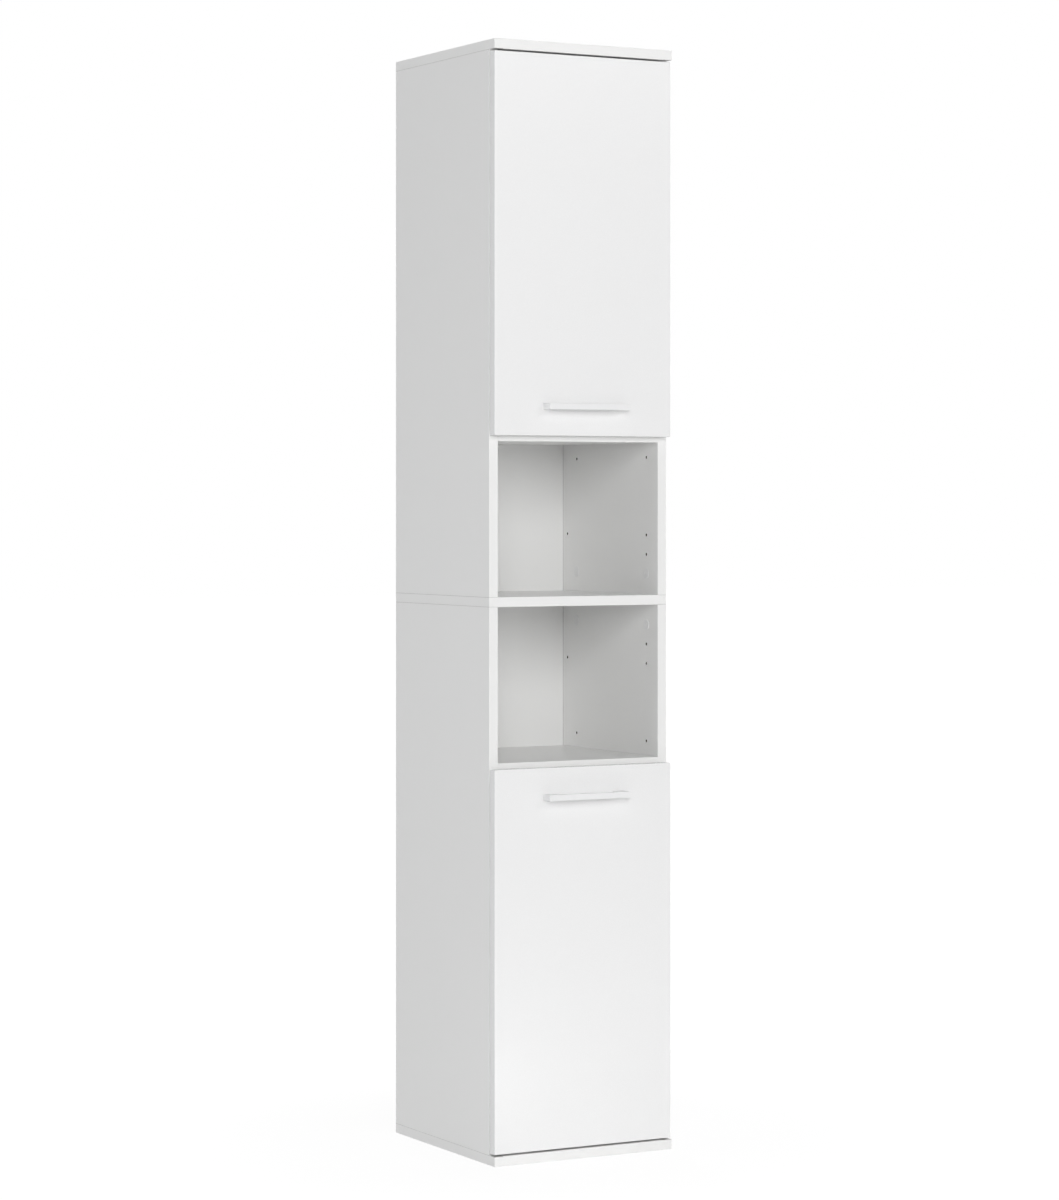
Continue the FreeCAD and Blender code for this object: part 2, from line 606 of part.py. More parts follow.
def bow_handle(name, z):
    """Bar bent to a flat bow: a square-ended bar on two feet whose inner sides lean outwards."""
    body = new_body(name)
    door_front = "(-Size.cab_depth / 2)"
    bar_front = "(%s - Size.bow_stand)" % door_front
    bar_back = "(%s + Size.bow_bar)" % bar_front
    end = "(Size.bow_length / 2)"
    foot = "(%s - Size.bow_foot)" % end
    throat = "(%s - Size.bow_lean)" % foot
    plan = sketch_on(body, "XY_Plane")
    outline(plan, [(minus(end), bar_front), (end, bar_front), (end, door_front), (foot, door_front),
                   (throat, bar_back), (minus(throat), bar_back), (minus(foot), door_front),
                   (minus(end), door_front)])
    pad(body, plan, "Size.bow_high", symmetric=True)
    front = number(bar_front)
    back = number(bar_back)
    reach = number(end)

    def throat_corner(edge):
        return along(edge, 2) and abs(edge.Vertexes[0].Y - back) < 0.01

    round_edges(body, "Size.bow_throat", throat_corner)

    def front_edge(edge):
        points = [vertex.Point for vertex in edge.Vertexes]
        return all(abs(point.y - front) < 0.01 for point in points) or (
            along(edge, 1) and abs(abs(points[0].x) - reach) < 0.01)

    round_edges(body, "Size.bow_round", front_edge)
    taps = sketch_on(body, "XZ_Plane", "Size.cab_depth / 2")
    for side in ("-", ""):
        circle(taps, "%sSize.bow_pitch / 2" % side, "0", "Size.bow_tap")
    pocket(body, taps, "Size.bow_tap_deep", forward=True)
    place(body, x=DOOR_MIDDLE, z=z)


def bow_screws(name, z):
    """Machine screws from inside the door into the handle's feet."""
    body = new_body(name)
    for side in ("-", ""):
        for offset, diameter, length in (
                ("(%s - Size.screw_head_high)" % DOOR_BACK, "Size.screw_head", "Size.screw_head_high"),
                (DOOR_BACK, "Size.screw_shank", "Size.door_thick + Size.screw_bite")):
            section = sketch_on(body, "XZ_Plane", offset)
            circle(section, "%sSize.bow_pitch / 2" % side, "0", diameter)
            pad(body, section, length)
    place(body, x=DOOR_MIDDLE, z=z)


# --- concealed hinges -----------------------------------------------------------------------------
# Local X is -u (u runs inwards from the right side panel's inner face), local Y is v (v runs back from
# the carcass front) and local Z 0 is the lower hinge of a door. Each group holds both hinges.

def capsule(sketch, start, end):
    """Closed outline of two arcs joined by their outer tangents. start and end are x, y, diameter."""
    x1, y1, r1 = [sketch.evalExpression(item) for item in start]
    x2, y2, r2 = [sketch.evalExpression(item) for item in end]
    r1, r2 = r1 / 2, r2 / 2
    heading = math.atan2(y2 - y1, x2 - x1)
    swing = math.acos((r1 - r2) / math.hypot(x2 - x1, y2 - y1))

    def spot(x, y, r, angle):
        return Vector(x + r * math.cos(angle), y + r * math.sin(angle), 0)

    low, high = heading - swing, heading + swing
    up = Vector(0, 0, 1)
    first = sketch.addGeometry(Part.ArcOfCircle(Part.Circle(Vector(x1, y1, 0), up, r1),
                                                high, low + 2 * math.pi))
    sketch.addGeometry(Part.LineSegment(spot(x1, y1, r1, low), spot(x2, y2, r2, low)))
    sketch.addGeometry(Part.ArcOfCircle(Part.Circle(Vector(x2, y2, 0), up, r2), low, high))
    sketch.addGeometry(Part.LineSegment(spot(x2, y2, r2, high), spot(x1, y1, r1, high)))
    for step in range(4):
        following = first + (step + 1) % 4
        sketch.addConstraint(Sketcher.Constraint("Tangent", first + step, 2, following, 1))
    pin_point(sketch, first, 3, start[0], start[1])
    pin_point(sketch, first + 2, 3, end[0], end[1])
    constrain(sketch, "Diameter", (first,), start[2])
    constrain(sketch, "Diameter", (first + 2,), end[2])


HINGE_X = INNER
HINGE_Y = FRONT


def hinge_group(name, z):
    body = new_body(name)
    place(body, x=HINGE_X, y=HINGE_Y, z=z)
    return body


def plates(body, shape, low, high, *arguments):
    """Pads one flat shape between two levels, and its mirror image below the hinge's middle plane."""
    for level, reverse in ((low, False), (minus(low), True)):
        section = sketch_on(body, "XY_Plane", level)
        shape(section, *arguments)
        pad(body, section, "%s - %s" % (high, low), reverse=reverse)


def drill(body, spots, diameter, half_height):
    section = sketch_on(body, "XY_Plane")
    for x, y in spots:
        circle(section, x, y, diameter)
    pocket(body, section, "2 * %s" % half_height, forward=True, symmetric=True)


CUP_LOCAL = "(%s - %s)" % (CUP_X, INNER)
WING_LOCAL = "(%s - Size.wing_offset)" % CUP_LOCAL
LONG_ARM = ("-Size.long_arm_u", "Size.long_arm_v")
LONG_KNEE = ("-Size.long_knee_u", "Size.long_knee_v")
LONG_CUP = ("-Size.long_cup_u", "Size.long_cup_v")
SHORT_ARM = ("-Size.short_arm_u", "Size.short_arm_v")
SHORT_KNEE = ("-Size.short_knee_u", "Size.short_knee_v")
SHORT_CUP = ("-Size.short_cup_u", "Size.short_cup_v")
EAR_ROOT = ("-Size.ear_root_u", "Size.ear_root_v")
NECK = ("-Size.neck_u", "Size.neck_v")
PIVOT_HOLE = "(Size.pivot_dia + Size.pivot_play)"


def both_hinges(body):
    repeat(body, "Z_Axis", HINGE_PITCH)


def hinge_cups(name, z):
    """Pressed cup with a rim, two screw wings and two ears that carry the long lever's pin."""
    body = hinge_group(name, z)
    inside = "(Size.door_gap - Size.cup_flange)"
    barrel = sketch_on(body, "XZ_Plane", "Size.door_gap")
    circle(barrel, CUP_LOCAL, "0", "Size.cup_dia - 2 * Size.cup_play")
    pad(body, barrel, "Size.cup_deep")
    rim = sketch_on(body, "XZ_Plane", inside)
    circle(rim, CUP_LOCAL, "0", "Size.cup_rim")
    pad(body, rim, "Size.cup_flange")
    wings = sketch_on(body, "XZ_Plane", inside)
    capsule(wings, (WING_LOCAL, "-Size.wing_half_pitch", "Size.wing_dia"),
            (WING_LOCAL, "Size.wing_half_pitch", "Size.wing_dia"))
    pad(body, wings, "Size.cup_flange")
    cavity = sketch_on(body, "XZ_Plane", inside)
    circle(cavity, CUP_LOCAL, "0", "Size.cup_dia - 2 * (Size.cup_play + Size.cup_wall)")
    pocket(body, cavity, "Size.cup_flange + Size.cup_deep - Size.cup_wall", forward=True)
    plates(body, capsule, "Size.ear_low", "Size.ear_high",
           LONG_CUP + ("Size.ear_tip_dia",), EAR_ROOT + ("Size.ear_root_dia",))
    drill(body, [LONG_CUP], PIVOT_HOLE, "Size.ear_high")
    holes = sketch_on(body, "XZ_Plane", inside)
    for side in ("-", ""):
        circle(holes, WING_LOCAL, "%sSize.wing_half_pitch" % side, "Size.wing_hole")
    pocket(body, holes, "Size.cup_flange", forward=True)
    both_hinges(body)


def pivot_pin(body, spot, reach, gap="0"):
    """A rivet with a flat head at each end, or two short ones with a gap between them."""
    plates(body, circle, gap, reach, spot[0], spot[1], "Size.pivot_dia")
    for level, reverse in ((reach, False), (minus(reach), True)):
        head = sketch_on(body, "XY_Plane", level)
        circle(head, spot[0], spot[1], "Size.pivot_head")
        pad(body, head, "Size.pivot_head_high", reverse=reverse)


def cup_pins(name, z):
    body = hinge_group(name, z)
    pivot_pin(body, LONG_CUP, "Size.ear_high")
    both_hinges(body)


def arm_pins(name, z):
    """The arm's pivots. The long lever swings across the short levers' line, so their pivot is split."""
    body = hinge_group(name, z)
    pivot_pin(body, LONG_ARM, "Size.ear_high")
    pivot_pin(body, SHORT_ARM, "Size.side_high", "Size.ear_low")
    both_hinges(body)


def long_links(name, z):
    """The solid lever between the arm's cheeks and the cup's ears. Its knee clears the side panel."""
    body = hinge_group(name, z)
    for start, end in ((LONG_ARM + ("Size.lever_dia",), LONG_KNEE + ("Size.lever_knee_dia",)),
                       (LONG_KNEE + ("Size.lever_knee_dia",), LONG_CUP + ("Size.lever_tip_dia",))):
        section = sketch_on(body, "XY_Plane")
        capsule(section, start, end)
        pad(body, section, "2 * Size.lever_half", symmetric=True)
    drill(body, [LONG_ARM, LONG_CUP], PIVOT_HOLE, "Size.lever_half")
    both_hinges(body)


def short_links(name, z):
    """Two side plates outside the arm's nose, each with a short stub towards the cup's ear."""
    body = hinge_group(name, z)
    for start, end in ((SHORT_ARM + ("Size.side_dia",), SHORT_KNEE + ("Size.side_dia",)),
                       (SHORT_KNEE + ("Size.side_dia",), SHORT_CUP + ("Size.side_tip_dia",))):
        plates(body, capsule, "Size.side_low", "Size.side_high", start, end)
    plates(body, circle, "Size.stub_low", "Size.side_low", SHORT_CUP[0], SHORT_CUP[1], "Size.pivot_dia")
    drill(body, [SHORT_ARM], PIVOT_HOLE, "Size.side_high")
    both_hinges(body)


def hinge_arms(name, z):
    """Channel over the mounting plate, running out into two cheeks that hold both levers."""
    body = hinge_group(name, z)
    side = sketch_on(body, "XY_Plane")
    top = "-Size.arm_top"
    low = "-Size.arm_low"
    outline(side, [(top, "Size.arm_front"), (top, "Size.arm_rear"), (low, "Size.arm_rear"),
                   (low, "Size.plate_boss_front"),
                   ("%s / 2 + %s / 2" % (top, low), "Size.arm_front + 1"),
                   ("%s + 3" % top, "Size.arm_front")])
    pad(body, side, "2 * Size.arm_half", symmetric=True)
    inside = sketch_on(body, "XY_Plane")
    rectangle(inside, "%s + Size.arm_wall" % top, "Size.arm_front - 1", "0", "Size.arm_rear + 1")
    pocket(body, inside, "2 * (Size.arm_half - Size.arm_wall)", forward=True, symmetric=True)
    plates(body, capsule, "Size.ear_low", "Size.ear_high",
           SHORT_ARM + ("Size.nose_dia",), LONG_ARM + ("Size.neck_dia",))
    plates(body, capsule, "Size.ear_low", "Size.ear_high",
           LONG_ARM + ("Size.neck_dia",), NECK + ("Size.neck_dia",))
    drill(body, [LONG_ARM, SHORT_ARM], PIVOT_HOLE, "Size.ear_high")
    hole = sketch_on(body, "YZ_Plane", top)
    circle(hole, "Size.arm_screw_v", "0", "Size.arm_screw_hole")
    pocket(body, hole, "Size.arm_wall", forward=True)
    both_hinges(body)


def hinge_plates(name, z):
    """Plate screwed to the side panel over two row holes, with the boss that the arm sits on."""
    body = hinge_group(name, z)
    wings = sketch_on(body, "YZ_Plane", "-Size.plate_thick")
    capsule(wings, ("Size.front_line", "-Size.plate_half_pitch", "Size.plate_wing_dia"),
            ("Size.front_line", "Size.plate_half_pitch", "Size.plate_wing_dia"))
    pad(body, wings, "Size.plate_thick")
    boss = sketch_on(body, "YZ_Plane", "-Size.plate_boss_high")
    rectangle(boss, "Size.plate_boss_front", "-Size.plate_boss_half",
              "Size.plate_boss_rear", "Size.plate_boss_half")
    pad(body, boss, "Size.plate_boss_high")
    holes = sketch_on(body, "YZ_Plane", "-Size.plate_thick")
    for side in ("-", ""):
        circle(holes, "Size.front_line", "%sSize.plate_half_pitch" % side, "Size.plate_hole")
    pocket(body, holes, "Size.plate_thick", forward=True)
    tap = sketch_on(body, "YZ_Plane", "-Size.plate_boss_high")
    circle(tap, "Size.arm_screw_v", "0", "Size.arm_screw_hole")
    pocket(body, tap, "Size.plate_boss_high - Size.plate_thick", forward=True)
    both_hinges(body)


def plate_screws(name, z):
    body = hinge_group(name, z)
    for side in ("-", ""):
        stack(body, "YZ_Plane", "Size.front_line", "%sSize.plate_half_pitch" % side,
              "(-Size.plate_thick - Size.plate_screw_head_high)",
              [("Size.plate_screw_head", "Size.plate_screw_head_high"),
               ("Size.plate_screw", "(Size.plate_thick + Size.plate_screw_bite)")])
    both_hinges(body)


def arm_screws(name, z):
    body = hinge_group(name, z)
    stack(body, "YZ_Plane", "Size.arm_screw_v", "0", "(-Size.arm_top - Size.arm_screw_head_high)",
          [("Size.arm_screw_head", "Size.arm_screw_head_high"),
           ("Size.arm_screw", "(Size.arm_top - Size.plate_thick - 1)")])
    both_hinges(body)


def cup_screws(name, z):
    body = hinge_group(name, z)
    seat = "(Size.door_gap - Size.cup_flange)"
    for side in ("-", ""):
        stack(body, "XZ_Plane", WING_LOCAL, "%sSize.wing_half_pitch" % side,
              "(%s - Size.cup_screw_head_high)" % seat,
              [("Size.cup_screw_head", "Size.cup_screw_head_high"),
               ("Size.cup_screw", "Size.cup_screw_long")])
    both_hinges(body)


# --- wall bracket ---------------------------------------------------------------------------------

def wall_bracket():
    """Angle under the top board: one leg screwed up into the board, one leg for the wall screw."""
    body = new_body("wall_bracket")
    reach = "(%s - Size.angle_leg)" % BACK_FACE
    inner = "(%s - Size.angle_thick)" % BACK_FACE
    profile = sketch_on(body, "YZ_Plane")
    outline(profile, [(BACK_FACE, "0"), (reach, "0"), (reach, "-Size.angle_thick"),
                      (inner, "-Size.angle_thick"), (inner, "-Size.angle_drop"),
                      (BACK_FACE, "-Size.angle_drop")])
    pad(body, profile, "Size.angle_wide", symmetric=True)
    bend = number(inner)
    drop = number("-Size.angle_thick")

    def bend_edge(edge):
        spot = edge.Vertexes[0].Point
        return along(edge, 0) and abs(spot.y - bend) < 0.01 and abs(spot.z - drop) < 0.01

    round_edges(body, "Size.angle_round", bend_edge)
    corners = (number(reach), number("-Size.angle_drop"))
    round_edges(body, "2 * Size.angle_round",
                lambda edge: (along(edge, 2) and abs(edge.Vertexes[0].Y - corners[0]) < 0.01)
                or (along(edge, 1) and abs(edge.Vertexes[0].Z - corners[1]) < 0.01))
    screws = sketch_on(body, "XY_Plane")
    for side in ("-", ""):
        circle(screws, "%sSize.angle_screw_step / 2" % side, BRACKET_LINE, "Size.angle_screw_hole")
    pocket(body, screws, "Size.angle_thick", forward=False)
    wall = sketch_on(body, "XZ_Plane", minus(BACK_FACE))
    circle(wall, "0", "-Size.wall_hole_drop", "Size.angle_wall_hole")
    pocket(body, wall, "Size.angle_thick", forward=True)
    place(body, z="Size.cab_height - Size.board")


def bracket_screws():
    body = new_body("bracket_screws")
    for side in ("-", ""):
        stack(body, "XY_Plane", "%sSize.angle_screw_step / 2" % side, BRACKET_LINE,
              "(-Size.angle_thick - Size.angle_screw_head_high)",
              [("Size.angle_screw_head", "Size.angle_screw_head_high"),
               ("(Size.angle_screw - 0.1)", "(Size.angle_thick + Size.angle_screw_bite - 1)")])
    place(body, z="Size.cab_height - Size.board")


# --- the cabinet ----------------------------------------------------------------------------------

TOP_UNDER = "(Size.cab_height - Size.board)"
MIDDLE_TOP = "(%s + Size.board / 2)" % HALF
UPPER_DOOR = "(%s - Size.end_reveal - %s)" % (TOP_UNDER, DOOR_HIGH)
LOWER_DOOR = "(Size.board + Size.end_reveal)"
UPPER_HINGE = "(%s - %s - %s)" % (DOOR_HIGH, HINGE_LOW, HINGE_PITCH)

end_panel("base_panel", "0")
middle_panel()
end_panel("top_panel", "Size.cab_height", FLIP, bracket=True)
side_panel("lower_side_right", 1, INNER, "Size.board")
side_panel("lower_side_left", -1, minus(INNER), "Size.board")
side_panel("upper_side_right", -1, INNER, TOP_UNDER, FLIP)
side_panel("upper_side_left", 1, minus(INNER), TOP_UNDER, FLIP)
fixed_shelf("lower_fixed_shelf", "%s + Size.board / 2" % SHELF_ROW)
fixed_shelf("upper_fixed_shelf", "%s - %s + Size.board / 2" % (TOP_UNDER, SHELF_ROW), FLIP)
back_panel("lower_back_panel", "Size.board")
back_panel("upper_back_panel", MIDDLE_TOP, "%s - Size.wall_hole_drop" % MODULE)
loose_shelf("lower_adjustable_shelf", "Size.board + Size.row_d + Size.pin_dia / 2")
loose_shelf("upper_adjustable_shelf", "%s - Size.row_d + Size.pin_dia / 2" % TOP_UNDER)
shelf_pins("lower_shelf_pins", "Size.board + Size.row_d")
shelf_pins("upper_shelf_pins", "%s - Size.row_d" % TOP_UNDER)
side_cams()
shelf_cams()
cam_bolts()
double_bolts()
shelf_bolts()
end_dowels()
middle_dowels()
shelf_dowels()
cam_caps()
wall_bracket()
bracket_screws()

for place_name, door_low, hinge_low, bow_level in (
        ("lower", LOWER_DOOR, HINGE_LOW, "(%s - Size.bow_edge)" % DOOR_HIGH),
        ("upper", UPPER_DOOR, UPPER_HINGE, "Size.bow_edge")):
    door(place_name + "_door", door_low, hinge_low, bow_level)
    door_bumpers(place_name + "_door_bumpers", door_low)
    bow_z = "%s + %s" % (door_low, bow_level)
    bow_handle(place_name + "_handle", bow_z)
    bow_screws(place_name + "_handle_screws", bow_z)
    hinge_z = "%s + %s" % (door_low, hinge_low)
    hinge_cups(place_name + "_hinge_cups", hinge_z)
    cup_pins(place_name + "_cup_pins", hinge_z)
    cup_screws(place_name + "_cup_screws", hinge_z)
    long_links(place_name + "_long_links", hinge_z)
    short_links(place_name + "_short_links", hinge_z)
    hinge_arms(place_name + "_hinge_arms", hinge_z)
    arm_pins(place_name + "_arm_pins", hinge_z)
    arm_screws(place_name + "_arm_screws", hinge_z)
    hinge_plates(place_name + "_hinge_plates", hinge_z)
    plate_screws(place_name + "_plate_screws", hinge_z)

# --- checks and export ----------------------------------------------------------------------------

doc.recompute()
for item in doc.Objects:
    if "Invalid" in item.State or "Error" in item.State:
        raise RuntimeError("not recomputed cleanly: %s %s" % (item.Name, item.State))

os.makedirs("parts", exist_ok=True)
for item in doc.Objects:
    if item.TypeId != "PartDesign::Body":
        continue
    if item.Shape.isNull() or not item.Shape.isValid():
        raise RuntimeError("no sound shape: " + item.Label)
    item.Shape.exportStep("parts/%s.step" % item.Label)
    print(item.Label, len(item.Shape.Solids), "solids", round(item.Shape.Volume / 1000, 2), "cm3")
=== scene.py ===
import math

import bmesh
import bpy
from mathutils import Matrix, Vector
from mathutils.geometry import tessellate_polygon


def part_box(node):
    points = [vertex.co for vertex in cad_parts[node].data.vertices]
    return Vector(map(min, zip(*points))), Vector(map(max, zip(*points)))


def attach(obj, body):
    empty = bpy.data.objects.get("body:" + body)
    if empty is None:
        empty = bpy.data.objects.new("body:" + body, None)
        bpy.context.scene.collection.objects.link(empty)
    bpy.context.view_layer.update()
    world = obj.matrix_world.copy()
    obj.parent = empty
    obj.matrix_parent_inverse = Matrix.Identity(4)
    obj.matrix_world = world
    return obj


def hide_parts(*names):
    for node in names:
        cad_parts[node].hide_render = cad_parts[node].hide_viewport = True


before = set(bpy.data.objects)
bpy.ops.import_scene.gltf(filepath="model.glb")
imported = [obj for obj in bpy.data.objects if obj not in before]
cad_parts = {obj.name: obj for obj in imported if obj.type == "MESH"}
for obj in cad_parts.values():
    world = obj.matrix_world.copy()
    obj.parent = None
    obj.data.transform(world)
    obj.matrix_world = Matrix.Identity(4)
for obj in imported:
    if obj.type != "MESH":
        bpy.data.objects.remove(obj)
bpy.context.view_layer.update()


# --- Camera --------------------------------------------------------------------------------------
# The cabinet is seen from its left front with a long lens. The camera looks level from the height
# of the upper niche, and its picture is shifted down, not tilted, so the verticals stay upright.
# All of it was found by matching one camera to the cabinet's corners. The lens, the horizon's row and
# the column straight ahead are in pixels of the picture.
CAMERA_AT = (-2.8055, -5.0787, 1.0605)
CAMERA_TURN = 28.56
LENS_PIXELS = 3494.48
PICTURE_WIDE, PICTURE_HIGH = 1059, 1200
HORIZON_ROW, AHEAD_COLUMN = 501.91, 510.29
SENSOR = 36.0
NEAREST, FARTHEST = 0.1, 100

scene = bpy.context.scene
camera_data = bpy.data.cameras.new("photo_camera")
camera_data.sensor_width = SENSOR
camera_data.sensor_fit = "AUTO"
camera_data.lens = LENS_PIXELS * SENSOR / PICTURE_HIGH
camera_data.shift_x = (PICTURE_WIDE / 2 - AHEAD_COLUMN) / PICTURE_HIGH
camera_data.shift_y = (HORIZON_ROW - PICTURE_HIGH / 2) / PICTURE_HIGH
camera_data.clip_start = NEAREST
camera_data.clip_end = FARTHEST
camera = bpy.data.objects.new("photo_camera", camera_data)
camera.location = CAMERA_AT
camera.rotation_euler = (math.radians(90), 0, math.radians(-CAMERA_TURN))
scene.collection.objects.link(camera)
scene.camera = camera


# --- Studio --------------------------------------------------------------------------------------
# A white room with large soft lamps in front, at both sides, overhead and behind, and a low strip
# for the light that the floor throws back. Room and floor look white to the camera and in
# reflections, and the floor still takes the cabinet's soft shadow.
ROOM_LIGHT = 0.2
SEEN_RAYS = ("Is Camera Ray", "Is Glossy Ray", "Is Transmission Ray")
PURE_WHITE = (1, 1, 1, 1)
FLOOR_COLOUR, FLOOR_ROUGHNESS = (0.92, 0.92, 0.92), 0.9
FLOOR_REACH = 30
FLOOR_GLOW = 1.03
NEAR_GLOW_SHARE = 0.9
SHADOW_REACH = 0.25, 1.0
COOL = (0.965, 0.98, 1.0)
MIX_FIRST, MIX_SECOND, MIX_RESULT = 6, 7, 2
# Name, place, point it faces, width, height, watts and, where it isn't white, colour.
LAMPS = (("key_lamp", (-2.5, -5.5, 2.4), (0, 0, 0.8), 2.2, 2.2, 137),
         ("high_lamp", (2.2, -4.0, 3.0), (0, 0, 0.8), 0.9, 0.7, 26),
         ("level_lamp", (0.6, -6.0, 1.2), (0, 0, 0.9), 3.0, 2.4, 38),
         ("floor_bounce", (-0.15, -0.62, 0.05), (-0.05, -0.175, 0.04), 0.7, 0.05, 0.33),
         ("left_lamp", (-6.5, 0.6, 1.3), (0, 0, 0.9), 2.5, 3.0, 71, COOL),
         ("right_lamp", (6.5, 0.6, 1.3), (0, 0, 0.9), 2.5, 3.0, 76),
         ("top_lamp", (0.3, 1.1, 5.3), (0, 0, 1.8), 1.8, 1.8, 30),
         ("rear_lamp", (1.5, 6.5, 2.4), (0, 0, 0.9), 2.5, 2.5, 110))


class Number:
    """A value that varies over a surface. Arithmetic on it adds Math nodes."""

    def __init__(self, shading, socket):
        self.shading = shading
        self.socket = socket

    def maths(self, operation, *others):
        """What one Math node makes of this value and others."""
        return self.shading.number("ShaderNodeMath", 0, {"operation": operation},
                                   dict(enumerate((self,) + others)))

    def __add__(self, other):
        return self.maths("ADD", other)

    def __mul__(self, other):
        return self.maths("MULTIPLY", other)

    def __sub__(self, other):
        return self.maths("SUBTRACT", other)

    def __rsub__(self, other):
        return self * -1 + other

    def __abs__(self):
        return self.maths("ABSOLUTE")

    def above(self, other):
        return self.maths("GREATER_THAN", other)

    def below(self, other):
        return self.maths("LESS_THAN", other)

    def least(self, other):
        return self.maths("MINIMUM", other)

    def most(self, other):
        return self.maths("MAXIMUM", other)

    def ramp(self, low, high):
        """0 at low, 1 at high and a smooth rise between them."""
        return self.shading.number("ShaderNodeMapRange", "Result", {"interpolation_type": "SMOOTHSTEP"},
                                   {"Value": self, "From Min": low, "From Max": high})

    __radd__ = __add__
    __rmul__ = __mul__


class Shading:
    """The nodes of the room or of one finish."""

    def __init__(self, tree):
        self.nodes = tree.nodes
        self.links = tree.links

    def set(self, node, socket, value):
        """Gives a socket a value, or a link where the value varies."""
        if isinstance(value, Number):
            value = value.socket
        if isinstance(value, bpy.types.NodeSocket):
            self.links.new(value, node.inputs[socket])
        else:
            node.inputs[socket].default_value = value

    def add(self, kind, settings=None, sockets=None):
        """Adds a node: its settings first, then the value or the link of each socket."""
        node = self.nodes.new(kind)
        for name, value in (settings or {}).items():
            if name == "stops":
                while len(node.color_ramp.elements) < len(value):
                    node.color_ramp.elements.new(0.5)
                for element, (position, colour) in zip(node.color_ramp.elements, value):
                    element.position = position
                    element.color = tuple(colour) + (1,)
            else:
                setattr(node, name, value)
        for name, value in (sockets or {}).items():
            self.set(node, name, value)
        return node

    def number(self, kind, output, settings=None, sockets=None):
        """Adds a node and gives one of its outputs as a number."""
        return Number(self, self.add(kind, settings, sockets).outputs[output])

    def seen(self):
        """1 for the camera, reflections and clear pieces, 0 for light that falls on the cabinet."""
        rays = self.add("ShaderNodeLightPath")
        camera_ray, glossy_ray, clear_ray = [Number(self, rays.outputs[ray]) for ray in SEEN_RAYS]
        return camera_ray.most(glossy_ray).most(clear_ray)


class Finish(Shading):
    """A node material that starts as a plain Principled surface."""

    def __init__(self, name, colour, roughness, **sockets):
        self.material = bpy.data.materials.new(name)
        self.material.use_nodes = True
        super().__init__(self.material.node_tree)
        self.surface = self.nodes["Principled BSDF"]
        self.material.diffuse_color = tuple(colour) + (1,)
        self.set(self.surface, "Base Color", tuple(colour) + (1,))
        self.set(self.surface, "Roughness", roughness)
        for socket, value in sockets.items():
            self.set(self.surface, socket.replace("_", " "), value)

    def place(self):
        """The point on the piece itself, in metres, as the piece stands at rest."""
        return self.add("ShaderNodeTexCoord").outputs["Object"]

    def axes(self):
        """The same point as three numbers."""
        split = self.add("ShaderNodeSeparateXYZ", None, {"Vector": self.place()})
        return [Number(self, split.outputs[axis]) for axis in "XYZ"]

    def noise(self, per_metre, detail=2, rough=0.5, stretch=(1, 1, 1), shift=(0, 0, 0)):
        """Soft noise of 0 to 1 with so many spots to the metre."""
        moved = self.add("ShaderNodeMapping", None,
                         {"Vector": self.place(), "Scale": stretch, "Location": shift})
        return self.number("ShaderNodeTexNoise", "Fac", None,
                           {"Vector": moved.outputs["Vector"], "Scale": per_metre,
                            "Detail": detail, "Roughness": rough})

    def mix(self, share, first, second):
        """Mixes two colours, each a tuple or a colour socket."""
        sockets = {0: share}
        for index, colour in ((MIX_FIRST, first), (MIX_SECOND, second)):
            sockets[index] = tuple(colour) + (1,) if isinstance(colour, tuple) else colour
        return self.add("ShaderNodeMix", {"data_type": "RGBA"}, sockets).outputs[MIX_RESULT]

    def relief(self, height, depth, strength):
        """Bumps the surface by a height of 0 to 1, depth metres deep."""
        sockets = {"Height": height, "Distance": depth, "Strength": strength}
        if self.surface.inputs["Normal"].is_linked:
            sockets["Normal"] = self.surface.inputs["Normal"].links[0].from_socket
        node = self.add("ShaderNodeBump", None, sockets)
        self.set(self.surface, "Normal", node.outputs["Normal"])


scene.view_settings.view_transform = "Standard"
world = bpy.data.worlds.new("white_room")
scene.world = world
world.use_nodes = True
room = Shading(world.node_tree)
room.set(room.nodes["Background"], "Color", PURE_WHITE)
room.set(room.nodes["Background"], "Strength", room.seen() * (1 - ROOM_LIGHT) + ROOM_LIGHT)

floor_finish = Finish("studio_floor", FLOOR_COLOUR, FLOOR_ROUGHNESS)
floor_x, floor_y = floor_finish.axes()[:2]
from_middle = (floor_x * floor_x + floor_y * floor_y).maths("SQRT")
glow_share = from_middle.ramp(*SHADOW_REACH) * (1 - NEAR_GLOW_SHARE) + NEAR_GLOW_SHARE
floor_glow = floor_finish.add("ShaderNodeEmission", None,
                              {"Color": PURE_WHITE, "Strength": FLOOR_GLOW})
floor_shade = floor_finish.add("ShaderNodeMixShader", None,
                               {0: floor_finish.seen() * glow_share,
                                1: floor_finish.surface.outputs[0], 2: floor_glow.outputs[0]})
floor_finish.set(floor_finish.nodes["Material Output"], "Surface", floor_shade.outputs[0])
floor_mesh = bpy.data.meshes.new("studio_floor")
floor_corners = [(-FLOOR_REACH, -FLOOR_REACH, 0), (FLOOR_REACH, -FLOOR_REACH, 0),
                 (FLOOR_REACH, FLOOR_REACH, 0), (-FLOOR_REACH, FLOOR_REACH, 0)]
floor_mesh.from_pydata(floor_corners, [], [(0, 1, 2, 3)])
floor_mesh.materials.append(floor_finish.material)
studio_floor = bpy.data.objects.new("studio_floor", floor_mesh)
scene.collection.objects.link(studio_floor)


def soft_lamp(name, place, target, wide, high, watts, colour=(1, 1, 1)):
    lamp = bpy.data.lights.new(name, "AREA")
    lamp.color = colour
    lamp.shape = "RECTANGLE"
    lamp.size = wide
    lamp.size_y = high
    lamp.energy = watts
    holder = bpy.data.objects.new(name, lamp)
    holder.location = place
    holder.rotation_euler = (Vector(target) - Vector(place)).to_track_quat("-Z", "Y").to_euler()
    scene.collection.objects.link(holder)


